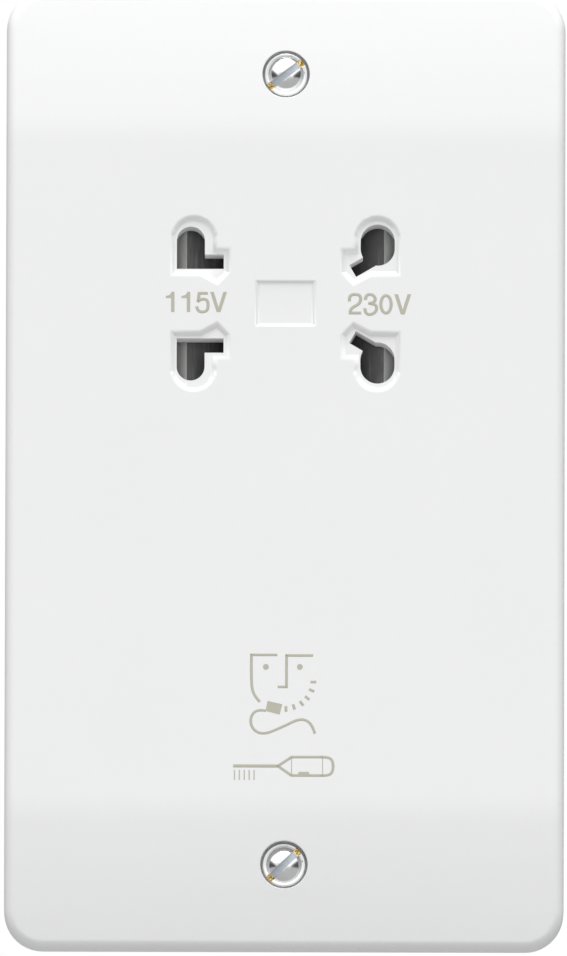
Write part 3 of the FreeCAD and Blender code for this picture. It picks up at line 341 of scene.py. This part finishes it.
LINE, HANDLE, TUFT, HAIR = 0.21, 0.25, 0.09, 0.07
shaver = [
    stroke(LINE, [(-1.08, -28.4), (-5.24, -28.4)]),
    stroke(LINE, [(-5.03, -28.3), (-5.03, -31.0), (-5.03, -33.0), (-4.75, -34.5), (-3.72, -35.55)], "NURBS"),
    stroke(LINE, [(4.36, -28.48), (0.11, -28.48)]),
    stroke(LINE, [(0.32, -28.4), (0.32, -33.47)]),
    stroke(LINE, [(0.32, -33.28), (-1.02, -33.28)]),
    patch([(-2.55, -35.42), (-0.31, -35.92), (-0.72, -37.49), (-2.86, -36.94)]),
    stroke(LINE, [(-2.8, -36.92), (-4.3, -36.6), (-5.35, -37.9), (-4.9, -39.85), (-3.2, -40.65),
                  (-0.8, -39.6), (1.0, -38.75), (2.5, -38.0), (4.1, -38.5), (4.66, -40.4)], "NURBS"),
]
shaver += [patch(oval(across, -30.23, 0.44, 0.44)[:-1]) for across in (-2.82, 2.34)]
BRISTLE = 0.43
for across, along, turn in ((0.24, -36.64, 92), (1.45, -36.33, 108), (2.62, -35.78, 125), (3.48, -34.96, 142),
                            (4.15, -33.8, 156), (4.4, -32.52, 180)):
    run, rise = BRISTLE * math.cos(math.radians(turn)), BRISTLE * math.sin(math.radians(turn))
    shaver.append(stroke(LINE, [(across + run, along + rise), (across - run, along - rise)]))
printed("shaver_sign", shaver)

brush = [
    stroke(HANDLE, [(-7.75, -45.33), (-0.86, -45.33)]),
    stroke(LINE, [(-1.0, -45.36), (1.11, -43.98)]),
    stroke(LINE, [(-1.0, -45.3), (1.12, -46.76)]),
    stroke(LINE, [(1.0, -43.96), (5.8, -43.96)]),
    stroke(LINE, [(1.0, -46.76), (5.8, -46.76)]),
    stroke(LINE, [(5.7, -43.96), (6.45, -43.96), (7.28, -44.1), (7.5, -45.36), (7.28, -46.62),
                  (6.45, -46.76), (5.7, -46.76)], "NURBS"),
    stroke(HAIR, [(1.12, -44.0), (1.12, -46.7)]),
    stroke(HAIR, [(5.83, -44.0), (5.83, -46.7)]),
    patch([(2.1, -46.6), (3.84, -46.6), (3.75, -46.22), (2.2, -46.22)]),
]
FIRST_TUFT, TUFT_SPACING, TUFTS = -7.55, 0.745, 5
for step in range(TUFTS):
    across = FIRST_TUFT + TUFT_SPACING * step
    brush.append(stroke(TUFT, [(across, -45.94), (across, -47.47)]))
printed("toothbrush_sign", brush)


# Interlock shutter: a dark nylon slide behind the apertures, with two ridges that a pin pushes aside.
# It slides left or right in its carrier and is brought back by a spring at each end.

def soften(piece, width, segments=2, sharper_than=35):
    """Small rounds on the sharp edges, as a moulding or a tumbled part has, with even shading."""
    pick(piece)
    rounds = piece.modifiers.new("rounds", "BEVEL")
    rounds.width = width
    rounds.segments = segments
    rounds.limit_method = "ANGLE"
    rounds.angle_limit = math.radians(sharper_than)
    rounds.use_clamp_overlap = True
    bpy.ops.object.modifier_apply(modifier="rounds")
    shade_evenly(piece)


RIDGE_EDGE = 0.015
shutter = merged_copy("interlock_shutter", "shutter_slide")
soften(shutter, 0.00012)
dark_nylon, surface, place = new_finish("dark nylon")
rub = place.make("ShaderNodeMapping", {}, {"Vector": place, "Scale": (1.0, 1.0, 0.12)})
scuff = speckle(rub, 1400.0, 4.0)
worn = scuff.make("ShaderNodeValToRGB", {"stops": (
    (0.5, (0, 0, 0, 1)), (0.72, (1, 1, 1, 1)))}, {"Fac": scuff})
# Outside x = ±RIDGE_EDGE the slide is painted a much lighter grey: a painted highlight for the light that the
# outer slopes of its ridges catch.
across = place.make("ShaderNodeSeparateXYZ", {}, {"Vector": place}, "X")
painted_ridge_highlight = across.make("ShaderNodeMath", {"operation": "ABSOLUTE"}, {0: across}) > RIDGE_EDGE
shade = blend(worn, (0.115, 0.116, 0.113, 1), (0.2, 0.204, 0.202, 1))
feed(surface,
     Base_Color=blend(painted_ridge_highlight * 0.85, shade, (0.68, 0.69, 0.67, 1)),
     Roughness=0.36 + scuff * 0.2,
     Normal=relief(speckle(place, 2400.0, 3.0), 0.00001, 0.5))
fit(shutter, dark_nylon, "shutter", "shutter_plastic", "interlock_shutter")


# Shutter springs: drawn steel wire wound in an open coil, one at each end of the slide. The inner end
# goes with the slide and the outer end stays in the carrier.

bright_wire, surface, place = new_finish("drawn spring wire")
drawn = speckle(place, 3000.0, 2.0)
surface.inputs["Metallic"].default_value = 1.0
feed(surface,
     Base_Color=blend(drawn, (0.46, 0.46, 0.46, 1), (0.6, 0.6, 0.59, 1)),
     Roughness=0.24 + drawn * 0.14)
SPRING_INNER, SPRING_OUTER = 0.0152, 0.0288
for side, inner, outer in (("left", -SPRING_INNER, -SPRING_OUTER), ("right", SPRING_INNER, SPRING_OUTER)):
    node = "shutter_spring_" + side
    coil = merged_copy(node, "coil_" + side)
    bpy.ops.object.shade_smooth_by_angle(angle=math.radians(60))
    coil.data.materials.clear()
    coil.data.materials.append(bright_wire)
    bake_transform(coil)
    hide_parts(node)


# Contact carrier: a black insulating moulding with the slide's channel and four pin chambers. It holds
# the sprung bronze contacts and the mains switch, and is pressed against the plate by the housing.

def moulded(name, dark, light, roughness, grain):
    """A filled moulding compound with a spark-eroded grain."""
    finish, surface, place = new_finish(name)
    cloud = speckle(place, 140.0, 3.0)
    pits = speckle(place, grain, 3.0)
    feed(surface,
         Base_Color=blend(cloud * 0.6 + pits * 0.4, dark, light),
         Roughness=roughness + pits * 0.16,
         Normal=relief(pits, 0.00003, 0.45))
    return finish


black_filled = moulded("black filled phenolic", (0.05, 0.05, 0.048, 1), (0.085, 0.084, 0.08, 1), 0.42, 1600.0)


def dressed(node, piece_name, softness, finish, slot, segments=2):
    """A copy of a node with its edges softened, in its own finish and in the node's place."""
    piece = merged_copy(node, piece_name)
    soften(piece, softness, segments)
    fit(piece, finish, "socket", slot, node)


dressed("contact_carrier", "carrier_moulding", 0.00015, black_filled, "carrier_plastic")


# Contacts and mains switch: strip phosphor bronze, blanked and bent, with rolling marks along the strip.
# Each sits in its chamber, and the switch leaf is lifted by the slide's finger.

bronze, surface, place = new_finish("phosphor bronze strip")
rolled = place.make("ShaderNodeMapping", {}, {"Vector": place, "Scale": (0.06, 1.0, 1.0)})
marks = speckle(rolled, 5200.0, 3.0)
tarnish = speckle(place, 420.0, 3.0)
surface.inputs["Metallic"].default_value = 1.0
feed(surface,
     Base_Color=blend(tarnish, (0.46, 0.25, 0.12, 1), (0.7, 0.45, 0.24, 1)),
     Roughness=0.22 + marks * 0.16 + tarnish * 0.1,
     Normal=relief(marks, 0.000006, 0.4))
for node, strip in (
        ("common_contact", "common_strip"), ("contact_115v", "clip_115v"), ("contact_230v", "clip_230v"),
        ("switch_leaf", "leaf_strip"), ("switch_fixed_contact", "fixed_strip")):
    dressed(node, strip, 0.00005, bronze, "contact_bronze")


# Transformer: a stack of varnished steel laminations on a nylon bobbin with two copper windings, held
# in a plated strap. Solder tags stand on the bobbin's flanges, and a cut-out is taped to the primary.

LAYER_WAVE, TURN_WAVE = 12566.0, 19000.0
laminations, surface, place = new_finish("varnished laminations")
height = place.make("ShaderNodeSeparateXYZ", {}, {"Vector": place}, "Y")
wander = speckle(place, 300.0)
# One wave sets both the relief and the colour: the stack is painted darker in the grooves between sheets and
# lighter on the sheets' edges, painted shade and a painted highlight.
layer = height.make("ShaderNodeMath", {"operation": "SINE"}, {0: height * LAYER_WAVE + wander * 1.5})
surface.inputs["Metallic"].default_value = 0.7
feed(surface,
     Base_Color=blend(layer * 0.5 + 0.5, (0.035, 0.036, 0.04, 1), (0.11, 0.11, 0.12, 1)),
     Roughness=0.36 + wander * 0.2,
     Normal=relief(layer, 0.00004, 0.6))
dressed("transformer_core", "lamination_stack", 0.00025, laminations, "core_steel")


def plated(name, dark, light, roughness):
    """Bright plate on metal, a little cloudy from the bath and marked by handling."""
    finish, surface, place = new_finish(name)
    cloud = speckle(place, 600.0, 4.0)
    marks = speckle(place, 5200.0, 3.0)
    surface.inputs["Metallic"].default_value = 1.0
    feed(surface,
         Base_Color=blend(cloud, dark, light),
         Roughness=roughness + cloud * 0.12 + marks * 0.06,
         Normal=relief(marks, 0.000006, 0.35))
    return finish


zinc = plated("zinc plate", (0.5, 0.5, 0.48, 1), (0.68, 0.68, 0.67, 1), 0.22)
tin = plated("tinned brass", (0.62, 0.62, 0.6, 1), (0.76, 0.76, 0.75, 1), 0.24)
nylon = moulded("natural nylon", (0.66, 0.63, 0.54, 1), (0.76, 0.73, 0.64, 1), 0.38, 1300.0)
case = moulded("cut-out case", (0.012, 0.012, 0.014, 1), (0.03, 0.03, 0.033, 1), 0.34, 1800.0)
dressed("core_clamp", "clamp_strap", 0.0002, zinc, "clamp_steel")
dressed("bobbin_tags", "solder_tags", 0.00006, tin, "tinned_tag")
dressed("bobbin", "winding_former", 0.0002, nylon, "bobbin_nylon")
dressed("thermal_cutout", "cutout_body", 0.0002, case, "cutout_case")

wire, surface, place = new_finish("varnished copper wire")
height = place.make("ShaderNodeSeparateXYZ", {}, {"Vector": place}, "Z")
wander = speckle(place, 240.0)
# One wave sets both the relief and the colour: the copper is painted darker in the grooves between turns and
# lighter on each turn's crown, painted shade and a painted highlight.
turn = height.make("ShaderNodeMath", {"operation": "SINE"}, {0: height * TURN_WAVE + wander * 2.0})
surface.inputs["Metallic"].default_value = 0.85
feed(surface,
     Base_Color=blend(turn * 0.5 + 0.5, (0.19, 0.06, 0.022, 1), (0.52, 0.22, 0.09, 1)),
     Roughness=0.26 + wander * 0.14,
     Normal=relief(turn, 0.00005, 0.7))
for name in ("primary", "secondary"):
    dressed(name + "_winding", name + "_coil", 0.0005, wire, "copper_winding", 4)


# Inner leads: solid tinned wire in a thin plastic sleeve, one colour to a circuit. They run from the
# terminals and contacts to the bobbin's tags and are soldered at both ends.

for colour, names, dark, light in (
        ("brown", ("lead_live", "lead_switch", "lead_cutout"),
         (0.075, 0.03, 0.014, 1), (0.11, 0.046, 0.022, 1)),
        ("blue", ("lead_neutral",), (0.012, 0.05, 0.24, 1), (0.02, 0.075, 0.33, 1)),
        ("black", ("lead_common",), (0.01, 0.01, 0.01, 1), (0.024, 0.024, 0.024, 1)),
        ("yellow", ("lead_115v",), (0.62, 0.42, 0.02, 1), (0.74, 0.52, 0.035, 1)),
        ("red", ("lead_230v",), (0.36, 0.014, 0.012, 1), (0.46, 0.024, 0.02, 1))):
    sleeve = moulded(colour + " sleeve", dark, light, 0.32, 2200.0)
    for name in names:
        dressed(name, "wire" + name.removeprefix("lead"), 0.00026, sleeve, colour + "_lead", 3)


# Terminals: free-cutting brass bar, sawn, drilled for the conductor and tapped for its screw. Each lies
# in a pocket of the housing's step, open to the top and the back.

brass, surface, place = new_finish("machined brass")
tooling = place.make("ShaderNodeMapping", {}, {"Vector": place, "Scale": (1.0, 0.08, 1.0)})
cut = speckle(tooling, 5600.0, 3.0)
tarnish = speckle(place, 380.0, 3.0)
surface.inputs["Metallic"].default_value = 1.0
feed(surface,
     Base_Color=blend(tarnish, (0.56, 0.37, 0.12, 1), (0.78, 0.57, 0.24, 1)),
     Roughness=0.2 + cut * 0.16 + tarnish * 0.08,
     Normal=relief(cut, 0.000008, 0.4))
for name in ("live", "neutral", "earth"):
    dressed("terminal_" + name, "block_" + name, 0.00018, brass, "terminal_brass")


# Terminal screws: three steel grub screws, zinc plated, each with a slot cut across its end. They screw
# into the terminals from behind and clamp the supply conductors.

def turned(name, outline, sides):
    """A piece of revolution about Y, spun from a chain of radius and depth in millimetres."""
    mesh = bpy.data.meshes.new(name)
    chain = [(radius / 1000, depth / 1000, 0) for radius, depth in outline]
    mesh.from_pydata(chain, [(step, step + 1) for step in range(len(chain) - 1)], [])
    piece = bpy.data.objects.new(name, mesh)
    bpy.context.scene.collection.objects.link(piece)
    pick(piece)
    bpy.ops.object.mode_set(mode="EDIT")
    bpy.ops.mesh.select_all(action="SELECT")
    bpy.ops.mesh.spin(steps=sides, angle=math.radians(360), center=(0, 0, 0), axis=(0, 1, 0))
    bpy.ops.mesh.select_all(action="SELECT")
    bpy.ops.mesh.remove_doubles(threshold=0.000004)
    bpy.ops.mesh.normals_make_consistent(inside=False)
    bpy.ops.object.mode_set(mode="OBJECT")
    return piece


def cut_slot(piece, size, middle, turn):
    """One pass of a slitting saw across a head."""
    bpy.ops.mesh.primitive_cube_add(size=0.001, location=[value / 1000 for value in middle],
                                    rotation=(0, math.radians(turn), 0))
    saw = bpy.context.object
    saw.scale = size
    pick(piece)
    slot = piece.modifiers.new("slot", "BOOLEAN")
    slot.operation = "DIFFERENCE"
    slot.solver = "EXACT"
    slot.object = saw
    bpy.ops.object.modifier_apply(modifier="slot")
    bpy.data.objects.remove(saw)


def set_out(pattern, name, places):
    """Copies of one piece, each with a mesh of its own, moved to their places and joined."""
    copies = []
    for x, y, z in places:
        copy = bpy.data.objects.new(name, pattern.data.copy())
        bpy.context.scene.collection.objects.link(copy)
        copy.location = (x / 1000, y / 1000, z / 1000)
        copies.append(copy)
    bpy.data.objects.remove(pattern)
    bpy.ops.object.select_all(action="DESELECT")
    for copy in copies:
        copy.select_set(True)
    bpy.context.view_layer.objects.active = copies[0]
    bpy.ops.object.transform_apply(location=True, rotation=True, scale=True)
    bpy.ops.object.join()
    copies[0].name = name
    return copies[0]


grub = turned("grub", [(0, 20.2), (0.9, 20.2), (1.4, 20.7), (1.4, 23.3), (1.2, 23.5), (0, 23.5)], 36)
cut_slot(grub, (4.0, 0.8, 0.55), (0, 23.4, 0), 20)
soften(grub, 0.00005)
TERMINAL_HEIGHT = 47.0
grubs = set_out(grub, "grub_screws", [(across, 0, TERMINAL_HEIGHT) for across in (20.0, -9.0, -26.5)])
fit(grubs, zinc, "socket", "zinc_steel", "terminal_screws")


# Rear housing: a stepped white box moulded in flame-retardant plastic, deep behind the transformer and
# shallow behind the outlets, where the supply wires are. Four lugs at its ends take the screws.

white_housing = moulded("white housing", (0.7, 0.7, 0.68, 1), (0.78, 0.78, 0.76, 1), 0.4, 1500.0)
dressed("rear_housing", "housing_moulding", 0.0003, white_housing, "housing_plastic", 3)


# Housing screws: four pan-head self-tapping screws, zinc plated, driven through the housing's lugs into
# bosses on the back of the plate.

dressed("housing_screws", "pan_screws", 0.00012, zinc, "zinc_steel")


# Fixing screws: two slotted box screws of plated steel, each with a flat rim round a domed middle. They
# lie in counterbores in the plate's ends and draw the plate to the box's lugs.

bright, surface, place = new_finish("bright plated steel")
rings = speckle(place, 900.0, 4.0)
marks = speckle(place, 6400.0, 3.0)
surface.inputs["Metallic"].default_value = 1.0
feed(surface,
     Base_Color=blend(rings, (0.7, 0.705, 0.71, 1), (0.84, 0.84, 0.83, 1)),
     Roughness=0.1 + rings * 0.06 + marks * 0.06,
     Normal=relief(marks, 0.000008, 0.4))

passivate, surface, place = new_finish("yellow passivate")
bath = speckle(place, 3600.0, 3.0)
streak = bath.make("ShaderNodeValToRGB", {"stops": (
    (0.36, (0, 0, 0, 1)), (0.6, (1, 1, 1, 1)))}, {"Fac": bath})
surface.inputs["Metallic"].default_value = 1.0
feed(surface,
     Base_Color=blend(streak, (0.11, 0.07, 0.015, 1), (0.8, 0.6, 0.24, 1)),
     Roughness=0.2 + bath * 0.14)

milled, surface, place = new_finish("milled slot")
cutter = speckle(place.make("ShaderNodeMapping", {}, {"Vector": place, "Rotation": (0, math.radians(-40), 0),
                                                      "Scale": (0.25, 1.0, 1.0)}), 5200.0, 3.0)
surface.inputs["Metallic"].default_value = 1.0
feed(surface,
     Base_Color=blend(cutter, (0.3, 0.34, 0.39, 1), (0.6, 0.64, 0.68, 1)),
     Roughness=0.32 + cutter * 0.16,
     Normal=relief(cutter, 0.00001, 0.6))

PITCH, CREST, ROOT, THREAD_START, THREAD_END = 0.6, 1.75, 1.42, -0.5, 14.8
outline = [(0, -8.88), (0.6, -8.85), (1.2, -8.73), (1.7, -8.54), (2.1, -8.32), (2.4, -8.1), (2.6, -7.92),
           (2.7, -7.84), (3.08, -7.98), (3.2, -7.95), (3.28, -7.86), (3.28, -6.98), (3.2, -6.9),
           (1.45, -6.9), (1.45, -0.6), (ROOT, THREAD_START), (ROOT, THREAD_END), (1.2, 15.0), (0, 15.0)]
SLOT_WIDTH, SLOT_BOTTOM, SLOT_LENGTH, RIM = 1.05, -7.72, 6.15, 2.4
SAW_DEPTH, SLOT_TOP = 1.6, -8.2


def thread():
    """A rolled thread: one rib wound along the shank, its two ends closed."""
    rib = [(ROOT - 0.1, 0), (ROOT, 0.04), (CREST, 0.25), (CREST, 0.32), (ROOT, 0.53), (ROOT - 0.1, 0.57)]
    mesh = bpy.data.meshes.new("thread")
    mesh.from_pydata([(radius / 1000, (THREAD_START + along) / 1000, 0) for radius, along in rib],
                     [(step, (step + 1) % len(rib)) for step in range(len(rib))], [])
    piece = bpy.data.objects.new("thread", mesh)
    bpy.context.scene.collection.objects.link(piece)
    pick(piece)
    wound = piece.modifiers.new("wound", "SCREW")
    wound.axis = "Y"
    wound.screw_offset = PITCH / 1000
    wound.iterations = int((THREAD_END - THREAD_START - PITCH) / PITCH)
    wound.steps = wound.render_steps = 28
    bpy.ops.object.modifier_apply(modifier="wound")
    bpy.ops.object.mode_set(mode="EDIT")
    bpy.ops.mesh.select_all(action="DESELECT")
    bpy.ops.mesh.select_mode(type="EDGE")
    bpy.ops.mesh.select_non_manifold()
    bpy.ops.mesh.edge_face_add()
    bpy.ops.mesh.select_all(action="SELECT")
    bpy.ops.mesh.normals_make_consistent(inside=False)
    bpy.ops.object.mode_set(mode="OBJECT")
    bpy.ops.object.shade_smooth_by_angle(angle=math.radians(30))
    return piece


for name, height, turn in (("upper", SCREW_HEIGHT, -37.5), ("lower", -SCREW_HEIGHT, -44.0)):
    screw = turned("screw_" + name, outline, 64)
    cut_slot(screw, (SLOT_LENGTH, SAW_DEPTH, SLOT_WIDTH), (0, SLOT_BOTTOM - SAW_DEPTH / 2, 0), turn)
    soften(screw, 0.00006)
    along = Vector((math.cos(math.radians(turn)), 0, -math.sin(math.radians(turn))))
    bpy.ops.object.mode_set(mode="EDIT")
    for end in (-1, 1):
        bpy.ops.mesh.select_all(action="SELECT")
        bpy.ops.mesh.bisect(plane_co=along * end * RIM / 1000, plane_no=along)
    bpy.ops.object.mode_set(mode="OBJECT")
    rib = thread()
    pick(screw)
    rib.select_set(True)
    bpy.ops.object.join()
    fit(screw, bright, "socket", "fixing_steel", "fixing_screws")
    screw.data.materials.append(passivate)
    screw.data.materials.append(milled)
    for face in screw.data.polygons:
        run = abs(face.center.dot(along)) * 1000
        in_slot = abs(face.center.cross(along).y) * 1000 < SLOT_WIDTH / 2 + 0.02
        if in_slot and SLOT_TOP < face.center.y * 1000 < SLOT_BOTTOM + 0.05:
            face.material_index = 1 if run > RIM - 0.02 else 2
    screw.location = (0, 0, height)
    bpy.ops.object.transform_apply(location=True, rotation=True, scale=True)


# Floor, light and camera: a plain grey floor far below, broad daylight from above and in front with white
# behind, dark flanks that draw the plate's side edges, and a long lens that looks up a little.

bpy.ops.mesh.primitive_plane_add(size=12, location=(0, 0, -0.9))
floor = bpy.context.object
floor.name = "studio_floor"
paper, surface, place = new_finish("grey paper")
grain = speckle(place, 40.0)
feed(surface, Base_Color=blend(grain, (0.38, 0.38, 0.38, 1), (0.4, 0.4, 0.4, 1)))
surface.inputs["Roughness"].default_value = 0.9
floor.data.materials.append(paper)

world = bpy.data.worlds.new("daylight")
bpy.context.scene.world = world
world.use_nodes = True
sky = world.node_tree.nodes["Background"]
start = Shade(world.node_tree)
facing = start.make("ShaderNodeTexCoord", {}, {}, "Generated")
across, ahead, above = [facing.make("ShaderNodeSeparateXYZ", {}, {"Vector": facing}, axis) for axis in "XYZ"]
width = across.make("ShaderNodeMath", {"operation": "ABSOLUTE"}, {0: across})
drop = above.make("ShaderNodeMath", {"operation": "ABSOLUTE"}, {0: above + 0.06})
room = above.make("ShaderNodeValToRGB", {"stops": (
    (0.0, (0.48, 0.49, 0.5, 1)), (0.15, (0.6, 0.61, 0.62, 1)), (0.35, (0.78, 0.79, 0.8, 1)),
    (0.46, (0.92, 0.93, 0.94, 1)), (0.53, (1, 1, 1, 1)), (0.62, (1.45, 1.45, 1.45, 1)))},
    {"Fac": above * 0.5 + 0.5})
WEDGE_START, WEDGE_SPREAD, WEDGE_EDGE = 0.42, 0.95, 9.0
gap = above.make("ShaderNodeMath", {"operation": "MULTIPLY", "use_clamp": True},
                 {0: width - WEDGE_START - drop * WEDGE_SPREAD, 1: WEDGE_EDGE})
room = blend(ahead > 0.25, room, (0.42, 0.42, 0.42, 1))
room = blend(gap * 0.94, room, (0.02, 0.02, 0.03, 1))
camera_ray, glossy_ray, glass_ray = [start.make("ShaderNodeLightPath", {}, {}, ray) for ray in (
    "Is Camera Ray", "Is Glossy Ray", "Is Transmission Ray")]
FLANK_START, FLANK_NEAR, FLANK_FAR = 0.4, 0.0, 0.7
flank = (width > FLANK_START) * ((ahead > FLANK_NEAR) - (ahead > FLANK_FAR))
ambient = blend(flank, (0.775, 0.775, 0.775, 1), (0.12, 0.12, 0.12, 1))
level = blend(glossy_ray, ambient, room)
level = blend(camera_ray + glass_ray > 0.5, level, (1.0, 1.0, 1.0, 1))
world.node_tree.links.new(level.socket, sky.inputs["Color"])

SUN_STRENGTH, SUN_SPREAD, SUN_HEIGHT = 2.44, math.radians(40), math.radians(68)
sun_data = bpy.data.lights.new("daylight_sun", "SUN")
sun_data.energy = SUN_STRENGTH
sun_data.angle = SUN_SPREAD
sun = bpy.data.objects.new("daylight_sun", sun_data)
bpy.context.scene.collection.objects.link(sun)
sun_from = Vector((0, -math.cos(SUN_HEIGHT), math.sin(SUN_HEIGHT)))
sun.rotation_euler = sun_from.to_track_quat("Z", "Y").to_euler()

pitch, roll, reach, picture_height = math.radians(5), 0.0028, 6.0, 0.1453
aim = Vector((-0.0002255, -0.00835, -0.00134))
sight = Vector((0, math.cos(pitch), math.sin(pitch)))
sideways, upright = Vector((1, 0, 0)), Vector((0, -math.sin(pitch), math.cos(pitch)))
right = sideways * math.cos(roll) + upright * math.sin(roll)
up = upright * math.cos(roll) - sideways * math.sin(roll)
lens = bpy.data.cameras.new("photo_camera")
lens.sensor_fit = "VERTICAL"
lens.sensor_height = 24.0
lens.lens = lens.sensor_height * reach / picture_height
lens.clip_end = 100.0
camera = bpy.data.objects.new("photo_camera", lens)
bpy.context.scene.collection.objects.link(camera)
bpy.context.scene.camera = camera
camera.location = aim - sight * reach
camera.rotation_euler = Matrix((right, up, -sight)).transposed().to_euler()
bpy.context.scene.view_settings.view_transform = "Standard"
